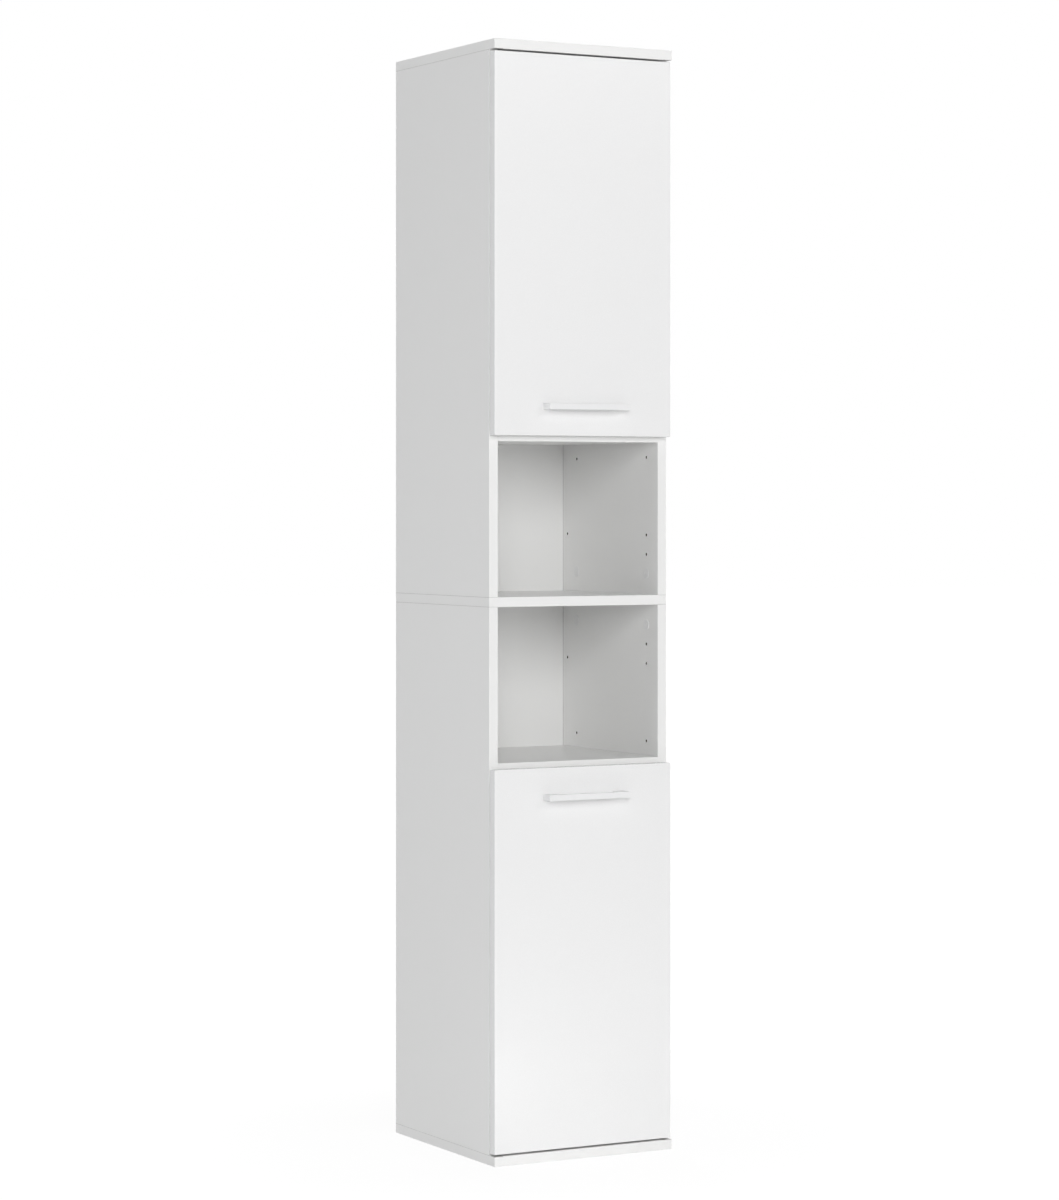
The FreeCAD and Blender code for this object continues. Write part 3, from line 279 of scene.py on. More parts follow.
for lamp_facts in LAMPS:
    soft_lamp(*lamp_facts)


# --- Carcass boards ------------------------------------------------------------------------------
# Base, top and middle board and four side panels, all 16 mm chipboard with a white melamine facing.
# Visible edges have a white plastic band glued on, whose joint shows as a hair line on the face; the
# rear edges and the walls of every bore and groove are bare chipboard.
CARCASS_WHITE = (0.886, 0.886, 0.879)
CHIP_TONES = [(0.0, (0.22, 0.14, 0.075)), (0.38, (0.40, 0.28, 0.16)),
              (0.62, (0.58, 0.44, 0.28)), (1.0, (0.74, 0.61, 0.43))]
# Painted shade inside the side panels' bores.
BORE_SHADE = (0.022, 0.017, 0.014)
# Painted shade for the joints and corners where boards meet.
PAINTED_JOINT_SHADE = (0.20, 0.19, 0.18)
CHIPS_PER_METRE, GRAIN_PER_METRE, CLOUDS_PER_METRE = 420, 1500, 5
SKIN_PER_METRE, SKIN_DEEP = 1400, 0.00002
TORN_PER_METRE, TORN_DEEP = 900, 0.0004
NOISE_SPREAD = 0.3, 0.7
CHIP_SHARE, DUST_SHARE = 0.8, 0.25
GRAIN_SHARE = 0.8
CORE_DEPTH = 0.0005
CORE_ROUGHER, GRAIN_ROUGHER = 0.5, 0.04
EDGE_BAND = 0.0008
GLUE_LINE, GLUE_TONE, GLUE_SHARE = 0.00012, 0.70, 0.4
# Width and share of the painted shade along the joints and at the corners.
SEAM_WIDE, JOINT_SHADE_SHARE = 0.0006, 0.5
CORNER_WIDE, CORNER_SHADE_SHARE = 0.001, 0.45
# The painted shade in the bores reaches its full share this deep into the board.
BORE_SHADE_DEPTH, BORE_SHADE_SHARE = 0.0006, 0.95
INNER_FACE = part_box("lower_side_right")[0].x


def faded(colour, share):
    """A colour with a share of its brightness."""
    return tuple(tone * share for tone in colour)


def chip_colour(finish):
    """Pressed wood chips, 1 to 4 mm long, from dark to pale."""
    chips = finish.add("ShaderNodeTexVoronoi", None,
                       {"Vector": finish.place(), "Scale": CHIPS_PER_METRE})
    grey = finish.number("ShaderNodeSeparateColor", 0, None, {"Color": chips.outputs["Color"]})
    tone = grey * CHIP_SHARE + finish.noise(2 * CHIPS_PER_METRE) * DUST_SHARE
    return finish.add("ShaderNodeValToRGB", {"stops": CHIP_TONES}, {"Fac": tone}).outputs["Color"]


def coat(node, finish):
    """Gives a CAD node one finish in every material slot."""
    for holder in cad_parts[node].material_slots:
        holder.material = finish.material


def faced_board(node, white, gloss, band_axes=(1,), raw_rear=True, peel=0.35, fade=0.985,
                shaded_seams=(), shaded_bores=False):
    """Melamine on the faces and banded edges, chipboard wherever the board is cut into. Seams get
    thin dark lines of painted shade where side panels meet it from under or over, and drilled panels
    have painted shade in their bores, darker deeper into the board."""
    low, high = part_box(node)
    finish = Finish(node + "_facing", white, gloss)
    point = finish.axes()
    x, y, z = point
    depth = None
    for axis in range(3):
        for distance in (point[axis] - low[axis], high[axis] - point[axis]):
            depth = distance if depth is None else depth.least(distance)
    core = depth.above(CORE_DEPTH)
    if raw_rear:
        core = core.most(y.above(high[1] - CORE_DEPTH / 4))

    # The shift gives each board its own clouds.
    cloud = finish.noise(CLOUDS_PER_METRE, detail=3, shift=(low[0] * 7, low[2] * 3, high[2]))
    grain = finish.noise(GRAIN_PER_METRE, detail=3, rough=0.7)
    facing = finish.mix(grain.ramp(*NOISE_SPREAD) * GRAIN_SHARE + cloud * (1 - GRAIN_SHARE),
                        faded(white, fade), white)
    for axis in band_axes:
        for band_end in (low[axis] + EDGE_BAND, high[axis] - EDGE_BAND):
            hair_line = abs(point[axis] - band_end).ramp(GLUE_LINE, 0)
            facing = finish.mix(hair_line * GLUE_SHARE, facing, faded(white, GLUE_TONE))
    # Painted shade: dark lines on the seams with the side panels, and along the corner where a side
    # panel meets the face.
    for side in shaded_seams:
        from_side = z - low[2] if side == "under" else high[2] - z
        seam_shade = from_side.below(SEAM_WIDE) * abs(x).above(INNER_FACE)
        facing = finish.mix(seam_shade * JOINT_SHADE_SHARE, facing, PAINTED_JOINT_SHADE)
        behind_band = from_side.below(SEAM_WIDE) * y.above(low[1] + EDGE_BAND)
        corner = abs(abs(x) - INNER_FACE).below(CORNER_WIDE)
        facing = finish.mix(behind_band * corner * CORNER_SHADE_SHARE, facing, PAINTED_JOINT_SHADE)
    chips = chip_colour(finish)
    # Painted shade in the bores, darker deeper into the board.
    if shaded_bores:
        chips = finish.mix(depth.ramp(0, BORE_SHADE_DEPTH) * BORE_SHADE_SHARE, chips, BORE_SHADE)
    finish.set(finish.surface, "Base Color", finish.mix(core, facing, chips))
    finish.set(finish.surface, "Roughness",
               core * CORE_ROUGHER + grain * GRAIN_ROUGHER + (gloss - GRAIN_ROUGHER / 2))
    finish.relief(finish.noise(SKIN_PER_METRE, rough=0.6), depth=SKIN_DEEP, strength=peel)
    finish.relief(core * finish.noise(TORN_PER_METRE, detail=3, rough=0.7), depth=TORN_DEEP,
                  strength=0.6)
    coat(node, finish)


for board_name, shaded_seams in (("base_panel", ("over",)), ("top_panel", ("under",)),
                          ("middle_panel", ("under", "over"))):
    faced_board(board_name, CARCASS_WHITE, gloss=0.34, shaded_seams=shaded_seams)
for board_name in ("lower_side_left", "lower_side_right", "upper_side_left", "upper_side_right"):
    faced_board(board_name, CARCASS_WHITE, gloss=0.34, shaded_bores=True)


# --- Fixed and loose shelves ---------------------------------------------------------------------
# Two fixed shelves between compartments and niches, and two loose ones on pins. The same faced
# chipboard as the carcass, banded on the front edge only, so the end grain of the loose ones is bare.
SHELF_WHITE = (0.884, 0.884, 0.876)

for board_name in ("lower_fixed_shelf", "upper_fixed_shelf"):
    faced_board(board_name, SHELF_WHITE, gloss=0.36, shaded_seams=("under", "over"))
for board_name in ("lower_adjustable_shelf", "upper_adjustable_shelf"):
    faced_board(board_name, SHELF_WHITE, gloss=0.36)


# --- Back panels ---------------------------------------------------------------------------------
# 3 mm hardboard slid into the grooves. The inner face is lacquered white and a little duller than
# the boards, with a line of painted shade where it runs into the grooves; the rear shows the brown
# fibre face with the screen mark of the press.
BACK_WHITE = (0.872, 0.872, 0.864)
FIBRE_DARK, FIBRE_PALE = (0.17, 0.095, 0.048), (0.36, 0.235, 0.13)
FIBRES_PER_METRE, FIBRE_SPREAD = 150, (0.3, 0.72)
SPECK_COLOUR, SPECK_SHARE = (0.52, 0.38, 0.23), 0.4
SPECKS_PER_METRE, SPECK_SPREAD = 700, (0.62, 0.75)
LACQUER_DEEP, LACQUER_FADE = 0.00015, 0.98
LACQUER_SKIN_PER_METRE = 1100
LACQUER_ROUGHNESS, HAZE_ROUGHER, FIBRE_ROUGHER = 0.40, 0.05, 0.36
# Share of painted shade along the edges that run into the grooves.
GROOVE_SHADE_SHARE = 0.4
SCREEN_PER_METRE, SCREEN_DEEP = 640, 0.0001

for board_name in ("lower_back_panel", "upper_back_panel"):
    low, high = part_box(board_name)
    back = Finish(board_name + "_hardboard", BACK_WHITE, roughness=0.42)
    x, y, z = back.axes()
    raw = y.above(low[1] + LACQUER_DEEP)
    fibre = back.noise(FIBRES_PER_METRE, detail=6, rough=0.7, stretch=(1, 1, 3.5))
    speck = back.noise(SPECKS_PER_METRE, rough=0.8).ramp(*SPECK_SPREAD)
    brown = back.mix(fibre.ramp(*FIBRE_SPREAD), FIBRE_DARK, FIBRE_PALE)
    brown = back.mix(speck * SPECK_SHARE, brown, SPECK_COLOUR)
    haze = back.noise(GRAIN_PER_METRE, detail=3, rough=0.7, shift=(high[2], 0, 0))
    white = back.mix(haze.ramp(*NOISE_SPREAD), faded(BACK_WHITE, LACQUER_FADE), BACK_WHITE)
    # Painted shade along the edges that run into the grooves.
    groove = abs(x).above(INNER_FACE - CORNER_WIDE)
    white = back.mix(groove * GROOVE_SHADE_SHARE, white, PAINTED_JOINT_SHADE)
    back.set(back.surface, "Base Color", back.mix(raw, white, brown))
    back.set(back.surface, "Roughness",
             raw * FIBRE_ROUGHER + haze * HAZE_ROUGHER + LACQUER_ROUGHNESS)
    weft = (x * (SCREEN_PER_METRE * 2 * math.pi)).maths("SINE")
    warp = (z * (SCREEN_PER_METRE * 2 * math.pi)).maths("SINE")
    back.relief(raw * (weft * warp + 1), depth=SCREEN_DEEP, strength=0.5)
    back.relief(back.noise(LACQUER_SKIN_PER_METRE, rough=0.6), depth=SKIN_DEEP, strength=0.4)
    coat(board_name, back)


# --- Doors ---------------------------------------------------------------------------------------
# One 16 mm door per module, smooth white foil with banded edges all round. The cup bores, the pilot
# holes and the handle holes go into bare board.
DOOR_WHITE = (0.892, 0.892, 0.893)

for board_name in ("lower_door", "upper_door"):
    faced_board(board_name, DOOR_WHITE, gloss=0.27, band_axes=(), raw_rear=False, peel=0.12,
                fade=0.988)


# --- Handles -------------------------------------------------------------------------------------
# A die-cast bow handle per door with a flat bar, powder coated in white. The paint has a fine, soft
# orange peel that catches the light along the rounded edges.
HANDLE_WHITE, HANDLE_FADE = (0.87, 0.872, 0.876), 0.98
POWDER_PER_METRE, POWDER_DEEP = 1900, 0.00006
DRIFT_PER_METRE = 60
POWDER_ROUGHNESS, POWDER_ROUGHER = 0.33, 0.12
POWDER_COAT = 0.1

for handle_name in ("lower_handle", "upper_handle"):
    powder = Finish(handle_name + "_powder", HANDLE_WHITE, roughness=0.4)
    peel = powder.noise(POWDER_PER_METRE)
    drift = powder.noise(DRIFT_PER_METRE)
    paint = powder.mix(drift.ramp(*NOISE_SPREAD), faded(HANDLE_WHITE, HANDLE_FADE), HANDLE_WHITE)
    powder.set(powder.surface, "Base Color", paint)
    powder.set(powder.surface, "Roughness", peel * POWDER_ROUGHER + POWDER_ROUGHNESS)
    powder.set(powder.surface, "Coat Weight", drift * POWDER_COAT + POWDER_COAT)
    powder.relief(peel, depth=POWDER_DEEP, strength=0.35)
    coat(handle_name, powder)


# --- Handle screws -------------------------------------------------------------------------------
# Two zinc-plated machine screws per handle, put in from inside the compartment. Each has a pan head
# with a cross recess and a rolled thread.
MM = 0.001
ZINC = (0.62, 0.625, 0.64)
STEEL_TINT, TINT_SHARE = (0.74, 0.68, 0.52), 0.22
TINTS_PER_METRE, TINT_SPREAD = 90, (0.55, 0.8)
DRAWN_PER_METRE, DRAWN_STRETCH, DRAWN_DEEP = 5200, 0.08, 0.00001
DULL_PER_METRE, DULL_SPREAD, DULL_FADE = 240, (0.35, 0.7), 0.86
DRAWN_ROUGHER, DULL_ROUGHER = 0.12, 0.10
TURN_SIDES = 40
THREAD_ROWS, SCREW_TIP = 6, 1.0
CREASE = math.radians(32)
HANDLE_HEAD_HIGH = 2.5
RECESS_WIDE, RECESS_DEEP = 0.26, 0.66
SLACK = 1e-6
PLACE_DIGITS, ORDER_DIGITS = 6, 4


def plated(name, colour, roughness, drawn_along=2):
    """Bright plated steel: soft cloudy dullness, fine drawing lines and a faint warm tint in places."""
    metal = Finish(name, colour, roughness, Metallic=1.0)
    stretch = [1.0, 1.0, 1.0]
    stretch[drawn_along] = DRAWN_STRETCH
    lines = metal.noise(DRAWN_PER_METRE, rough=0.6, stretch=stretch)
    cloud = metal.noise(DULL_PER_METRE, detail=3, rough=0.55)
    shade = metal.mix(cloud.ramp(*DULL_SPREAD), faded(colour, DULL_FADE), colour)
    tint = metal.noise(TINTS_PER_METRE).ramp(*TINT_SPREAD)
    metal.set(metal.surface, "Base Color", metal.mix(tint * TINT_SHARE, shade, STEEL_TINT))
    metal.set(metal.surface, "Roughness",
              lines * DRAWN_ROUGHER + cloud * DULL_ROUGHER + (roughness - DULL_ROUGHER))
    metal.relief(lines, depth=DRAWN_DEEP, strength=0.5)
    return metal


def copies(node):
    """The lowest and highest corner of each separate solid in a CAD node, from the left up."""
    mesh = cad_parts[node].data
    parent = {}

    def root(key):
        while parent[key] != key:
            parent[key] = parent[parent[key]]
            key = parent[key]
        return key

    keys = [tuple(round(value, PLACE_DIGITS) for value in vertex.co) for vertex in mesh.vertices]
    for key in keys:
        parent[key] = key
    for face in mesh.polygons:
        first = root(keys[face.vertices[0]])
        for index in face.vertices[1:]:
            parent[root(keys[index])] = first
    groups = {}
    for key in parent:
        groups.setdefault(root(key), []).append(key)
    boxes = [(Vector(map(min, *group)), Vector(map(max, *group))) for group in groups.values()]
    return sorted(boxes, key=lambda box: tuple(round(value, ORDER_DIGITS) for value in box[0]))


def turn(shape, at, profile, sides=TURN_SIDES, form=None):
    """Adds a turned form. profile is (radius, height) in mm from one end to the other, form may
    change the radius by angle and height, and at carries it into place."""
    rows = []
    for radius, height in profile:
        count = sides if radius else 1
        row = []
        for step in range(count):
            angle = 2 * math.pi * step / sides
            reach = form(angle, radius, height) if form and radius else radius
            corner = Vector((reach * math.cos(angle), reach * math.sin(angle), height))
            row.append(shape.verts.new(at @ (corner * MM)))
        rows.append(row)
    for lower, upper in zip(rows, rows[1:]):
        for step in range(sides):
            ring = [lower[step % len(lower)], lower[(step + 1) % sides % len(lower)],
                    upper[(step + 1) % sides % len(upper)], upper[step % len(upper)]]
            corners = [corner for n, corner in enumerate(ring) if corner not in ring[:n]]
            shape.faces.new(corners)
    return rows


def mirrored(profile, length=0):
    """The same profile from its other end, with heights counted down from the length."""
    return [(radius, length - height) for radius, height in reversed(profile)]


def cross_recess(shape, at, rim, height, span, wide, deep):
    """Closes a head's flat top with a tapered cross-shaped recess."""
    def cross(reach, half):
        return [(half, half), (half, reach), (-half, reach), (-half, half), (-reach, half),
                (-reach, -half), (-half, -half), (-half, -reach), (half, -reach), (half, -half),
                (reach, -half), (reach, half)]

    def level(corners, z):
        return [shape.verts.new(at @ (Vector((x, y, z)) * MM)) for x, y in corners]

    # The walls lean in to a smaller cross, and a shallow point closes it.
    mouth = level(cross(span / 2, wide / 2), height)
    floor = level(cross(span / 4, wide / 2.6), height - deep)
    tip = shape.verts.new(at @ (Vector((0, 0, height - deep * 1.25)) * MM))
    outline = [[vertex.co for vertex in rim], [vertex.co for vertex in mouth]]
    both = list(rim) + mouth
    for corners in tessellate_polygon(outline):
        shape.faces.new([both[n] for n in corners])
    for n in range(len(mouth)):
        m = (n + 1) % len(mouth)
        shape.faces.new([mouth[n], mouth[m], floor[m], floor[n]])
        shape.faces.new([floor[n], floor[m], tip])


def thread(radius, core, start, end, pitch):
    """Profile rows and the form of a rolled thread between two heights."""
    count = max(2, int(round(abs(end - start) / pitch * THREAD_ROWS)))
    rows = [(radius, start + (end - start) * n / count) for n in range(count + 1)]

    def form(angle, reach, height):
        within = min(start, end) - SLACK <= height <= max(start, end) + SLACK
        if reach != radius or not within:
            return reach
        phase = (height / pitch - angle / (2 * math.pi)) % 1
        fade = min(1, abs(height - start) / pitch, abs(end - height) / pitch)
        return radius - (radius - core) * abs(2 * phase - 1) * fade
    return rows, form


def finished(name, shape, finish, body, node):
    """Turns a bmesh into a piece with soft shading and crisp creases, and hands it to the frame."""
    bmesh.ops.recalc_face_normals(shape, faces=shape.faces)
    mesh = bpy.data.meshes.new(name)
    shape.to_mesh(mesh)
    shape.free()
    mesh.polygons.foreach_set("use_smooth", [True] * len(mesh.polygons))
    mesh.set_sharp_from_angle(angle=CREASE)
    mesh.materials.append(finish.material)
    piece = bpy.data.objects.new(name, mesh)
    scene.collection.objects.link(piece)
    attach(piece, body)
    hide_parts(node)


def pointing(place, direction):
    """Carries a form drawn along +Z to a place, along another direction."""
    turned = Vector(direction).to_track_quat("Z", "Y").to_matrix().to_4x4()
    return Matrix.Translation(place) @ turned


def screw(shape, at, head, head_high, shank, core, length, pitch, span, plain=0.5):
    """A pan-head screw with its seat at height 0, its head above and its thread below."""
    rows, form = thread(shank, core, SCREW_TIP - length, -plain, pitch)
    profile = [(0, -length), (core * 0.45, 0.15 - length), (core, 0.7 - length)]
    profile += rows + [(shank, 0), (head - 0.25, 0), (head, 0.25), (head, head_high * 0.45)]
    profile += [(head * 0.96, head_high * 0.7), (head * 0.86, head_high * 0.88),
                (head * 0.72, head_high * 0.975), (head * 0.6, head_high)]
    rim = turn(shape, at, profile, form=form)[-1]
    cross_recess(shape, at, rim, head_high, span, wide=span * RECESS_WIDE,
                 deep=head_high * RECESS_DEEP)


for module in ("lower", "upper"):
    node = module + "_handle_screws"
    shape = bmesh.new()
    for low, high in copies(node):
        seat = Vector(((low.x + high.x) / 2, high.y - HANDLE_HEAD_HIGH * MM, (low.z + high.z) / 2))
        screw(shape, pointing(seat, (0, 1, 0)), head=4, head_high=HANDLE_HEAD_HIGH, shank=1.95,
              core=1.55, length=(seat.y - low.y) / MM, pitch=0.7, span=3.9, plain=4)
    finished(module + "_handle_machine_screws", shape,
             plated(module + "_handle_screw_zinc", ZINC, roughness=0.3, drawn_along=1),
             module + "_door_leaf", node)


# --- Door bumpers --------------------------------------------------------------------------------
# Two domes of clear soft plastic stuck behind each door's free edge, so that it closes quietly. They
# show as small glassy beads with a flat foot.
GEL_CLEAR, GEL_PALE, GEL_MILKY = (0.86, 0.88, 0.88), (0.90, 0.92, 0.92), (0.80, 0.83, 0.83)
GEL_PER_METRE, MILK_PER_METRE = 900, 300
GEL_ROUGHNESS, GEL_ROUGHER = 0.08, 0.1
DOME_RADIUS, DOME_FOOT = 3.98, 0.3
DOME_RISES = 0.25, 0.5, 0.75, 1.0, 1.25, 1.42

for module in ("lower", "upper"):
    node = module + "_door_bumpers"
    clear = Finish(module + "_bumper_gel", GEL_CLEAR, roughness=0.12, Transmission_Weight=0.75,
                   IOR=1.48)
    clear.set(clear.surface, "Roughness",
              clear.noise(GEL_PER_METRE) * GEL_ROUGHER + GEL_ROUGHNESS)
    clear.set(clear.surface, "Base Color",
              clear.mix(clear.noise(MILK_PER_METRE), GEL_MILKY, GEL_PALE))
    shape = bmesh.new()
    for low, high in copies(node):
        middle = (low + high) / 2
        thick = (high.y - low.y) / MM
        dome = [(0, 0), (3.6, 0), (3.95, 0.12), (DOME_RADIUS, DOME_FOOT)]
        dome += [(DOME_RADIUS * math.cos(rise), DOME_FOOT + (thick - DOME_FOOT) * math.sin(rise))
                 for rise in DOME_RISES] + [(0, thick)]
        turn(shape, pointing(Vector((middle.x, low.y, middle.z)), (0, 1, 0)), dome)
    finished(module + "_bumper_domes", shape, clear, module + "_door_leaf", node)


# --- Hinges --------------------------------------------------------------------------------------
# Two concealed hinges per door: a drawn cup let into the door, an arm on a cross-shaped plate
# screwed to the side panel, one solid lever and a pair of plates as the second. All are pressed steel
# with bright nickel, clouded by handling and scuffed where the plates rub.
NICKEL = (0.66, 0.645, 0.615)
HINGE_PARTS = ("hinge_cups", "hinge_arms", "hinge_plates", "long_links", "short_links")
NICKEL_ROUGHNESS, DULLER_EACH = 0.27, 0.015
RUBS_PER_METRE, RUB_SPREAD = 420, (0.66, 0.74)
RUB_COAT, RUB_DEEP = 0.35, 0.00002

for module in ("lower", "upper"):
    for number, part in enumerate(HINGE_PARTS):
        node = module + "_" + part
        nickel = plated(node + "_nickel", NICKEL, NICKEL_ROUGHNESS + DULLER_EACH * number,
                        drawn_along=1)
        rub = nickel.noise(RUBS_PER_METRE, detail=4, rough=0.7, stretch=(1, 3, 0.4)).ramp(*RUB_SPREAD)
        nickel.set(nickel.surface, "Coat Weight", rub * RUB_COAT)
        nickel.relief(rub, depth=RUB_DEEP, strength=0.4)
        coat(node, nickel)


# --- Hinge rivets --------------------------------------------------------------------------------
# Steel pins that the levers turn on, their ends spun over into low domes on the cheeks of arm and
# cup. The pivot of the side plates is split, one short pin in each cheek.
RIVET_STEEL = (0.50, 0.50, 0.505)
PIN_RADIUS = 1.0
RIVET_HEAD = 0.46
RIVET_SIDES = 28


def spun_head(end):
    """Profile of a spun-over rivet end, up to the height end."""
    return [(PIN_RADIUS, end - RIVET_HEAD), (1.5, end - RIVET_HEAD), (1.6, end - 0.38),
            (1.6, end - 0.22), (1.4, end - 0.08), (0.9, end - 0.01), (0.5, end), (0, end - 0.05)]


for module in ("lower", "upper"):
    for part, body in (("cup_pins", module + "_door_leaf"), ("arm_pins", "carcass")):
        node = module + "_" + part
        centres = [(low.z + high.z) / 2 for low, high in copies(module + "_hinge_arms")]
        shape = bmesh.new()
        for low, high in copies(node):
            middle = (low + high) / 2
            half = (high.z - low.z) / 2 / MM
            centre = min(centres, key=lambda z: abs(z - middle.z))
            if abs(middle.z - centre) < RIVET_HEAD * MM:
                at = Matrix.Translation(middle)
                far_end = mirrored(spun_head(half))
            else:
                at = pointing(middle, (0, 0, 1 if middle.z > centre else -1))
                far_end = [(0, -half), (0.85, -half), (PIN_RADIUS, 0.15 - half)]
            turn(shape, at, far_end + spun_head(half), sides=RIVET_SIDES)
        finished(node.replace("pins", "rivets"), shape,
                 plated(node + "_steel", RIVET_STEEL, roughness=0.3), body, node)


# --- Hinge screws --------------------------------------------------------------------------------
# Wood screws hold the cups to the door, thick plate screws go into two holes of the row in the side
# panel, and one machine screw clamps each arm to its plate. All have cross recesses.
RECESS_SPAN = 1.05
# Part, the way its head points, and in mm the head's height, the shank's and core's radius and the
# thread's pitch.
HINGE_SCREWS = (("cup_screws", (0, 1, 0), 1.6, 1.45, 0.95, 1.1),
                ("plate_screws", (-1, 0, 0), 2.0, 2.45, 1.75, 1.7),
                ("arm_screws", (-1, 0, 0), 1.6, 1.9, 1.5, 0.7))

for module in ("lower", "upper"):
    for part, toward, head_high, shank, core, pitch in HINGE_SCREWS:
        node = module + "_" + part
        body = module + "_door_leaf" if part == "cup_screws" else "carcass"
        axis = 1 if toward[1] else 0
        shape = bmesh.new()
        for low, high in copies(node):
            top, bottom = (high, low) if toward[axis] > 0 else (low, high)
            head = (high.z - low.z) / 2 / MM
            seat = (low + high) / 2
            seat[axis] = top[axis] - toward[axis] * head_high * MM
            length = abs(seat[axis] - bottom[axis]) / MM
            screw(shape, pointing(seat, toward), head, head_high, shank, core, length, pitch,
                  span=head * RECESS_SPAN)
        finished(node.replace("_screws", "_cross_screws"), shape,
                 plated(node + "_nickel", NICKEL, roughness=0.3, drawn_along=axis), body,
                 node)


# --- Cams ----------------------------------------------------------------------------------------
# Die-cast zinc discs sunk in the boards' inner faces, each slotted at the side for its bolt and
# across the face for the driver. The cast skin is matt and grainy, brighter where the driver bites.
CAST_ZINC, CAST_DULL, CAST_BRIGHT = (0.50, 0.505, 0.52), (0.40, 0.405, 0.42), (0.68, 0.68, 0.69)
CAST_PER_METRE, CAST_DEEP = 1500, 0.00008
FLOWS_PER_METRE = 190
BRIGHT_SPREAD, BRIGHT_SHARE = (0.6, 0.75), 0.5
CAST_ROUGHNESS, CAST_ROUGHER = 0.32, 0.25

for node in ("side_cams", "shelf_cams"):
    cast = Finish(node + "_cast", CAST_ZINC, roughness=0.45, Metallic=1.0)
    skin = cast.noise(CAST_PER_METRE, detail=4, rough=0.65)
    flow = cast.noise(FLOWS_PER_METRE, detail=3, rough=0.6)
    tone = cast.mix(flow.ramp(*NOISE_SPREAD), CAST_DULL, CAST_ZINC)
    tone = cast.mix(skin.ramp(*BRIGHT_SPREAD) * BRIGHT_SHARE, tone, CAST_BRIGHT)
    cast.set(cast.surface, "Base Color", tone)
    cast.set(cast.surface, "Roughness", skin * CAST_ROUGHER + CAST_ROUGHNESS)
    cast.relief(skin, depth=CAST_DEEP, strength=0.6)
    coat(node, cast)


# --- Bolts ---------------------------------------------------------------------------------------
# Steel bolts between the boards: a thread in one board, a collar against its face and a knob that
# the cam pulls in. The ones through the middle board have a knob at both ends.
BOLT_ZINC = (0.60, 0.61, 0.625)
BITE, COLLAR, KNOB = 11, 1, 3
SHAFT_RADIUS, HEAD_RADIUS = 2.4, 3.5
middle_low, middle_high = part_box("middle_panel")
cabinet_middle = (middle_low + middle_high) / 2


def knob(end):
    """Profile of a bolt's knob, from the shaft up to the flat at the height end."""
    return [(SHAFT_RADIUS, end - KNOB), (3.25, end - KNOB), (HEAD_RADIUS, end - 2.75),
            (HEAD_RADIUS, end - 1.1), (3.1, end - 0.25), (2.5, end)]


for node in ("cam_bolts", "shelf_bolts", "double_bolts"):
    double = node == "double_bolts"
    axis = 0 if node == "shelf_bolts" else 2
    shape = bmesh.new()
    for low, high in copies(node):
        start = (low + high) / 2
        inward = 1 if double or start[axis] < cabinet_middle[axis] else -1
        start[axis] = low[axis] if inward > 0 else high[axis]
        length = (high[axis] - low[axis]) / MM
        away = [0, 0, 0]
        away[axis] = inward
        at = pointing(start, away)
        if double:
            foot, form = mirrored(knob(length), length), None
        else:
            rows, form = thread(radius=2.45, core=1.75, start=0.9, end=BITE - 0.4, pitch=1.3)
            foot = [(0, 0), (1.3, 0), (1.75, 0.6)] + rows
            foot += [(2.3, BITE), (3.3, BITE), (HEAD_RADIUS, BITE + 0.2),
                     (HEAD_RADIUS, BITE + COLLAR - 0.2), (3.3, BITE + COLLAR),
                     (SHAFT_RADIUS, BITE + COLLAR)]
        ends = turn(shape, at, foot + knob(length), form=form)
        cross_recess(shape, at, ends[-1], length, span=3.9, wide=1.0, deep=1.7)
        if double:
            shape.faces.new(ends[0])
    finished(node.replace("bolts", "steel_bolts"), shape,
             plated(node + "_zinc", BOLT_ZINC, roughness=0.3, drawn_along=axis), "carcass",
             node)


# --- Dowels --------------------------------------------------------------------------------------
# Beech pegs glued in beside every bolt. They are fluted along their length, so that air and spare
# glue can escape, and chamfered at both ends.
FLUTES, FLUTE_DEEP, FLUTED_FROM = 20, 0.22, 3.5
DOWEL_SIDES = 80
BEECH_PALE, BEECH_DARK = (0.66, 0.49, 0.31), (0.50, 0.345, 0.20)
BEECH_PER_METRE, BEECH_STRETCH, BEECH_SPREAD = 1300, 0.06, (0.3, 0.72)
FLECK_COLOUR, FLECK_SHARE = (0.36, 0.22, 0.11), 0.5
FLECKS_PER_METRE, FLECK_STRETCH, FLECK_SPREAD = 2600, 0.12, (0.62, 0.7)
BEECH_ROUGHNESS, BEECH_ROUGHER, BEECH_DEEP = 0.5, 0.2, 0.0001


def flute(angle, radius, height):
    """The round becomes fluted between the two chamfers."""
    if radius <= FLUTED_FROM:
        return radius
    return radius - FLUTE_DEEP * (0.5 + 0.5 * math.cos(FLUTES * angle))


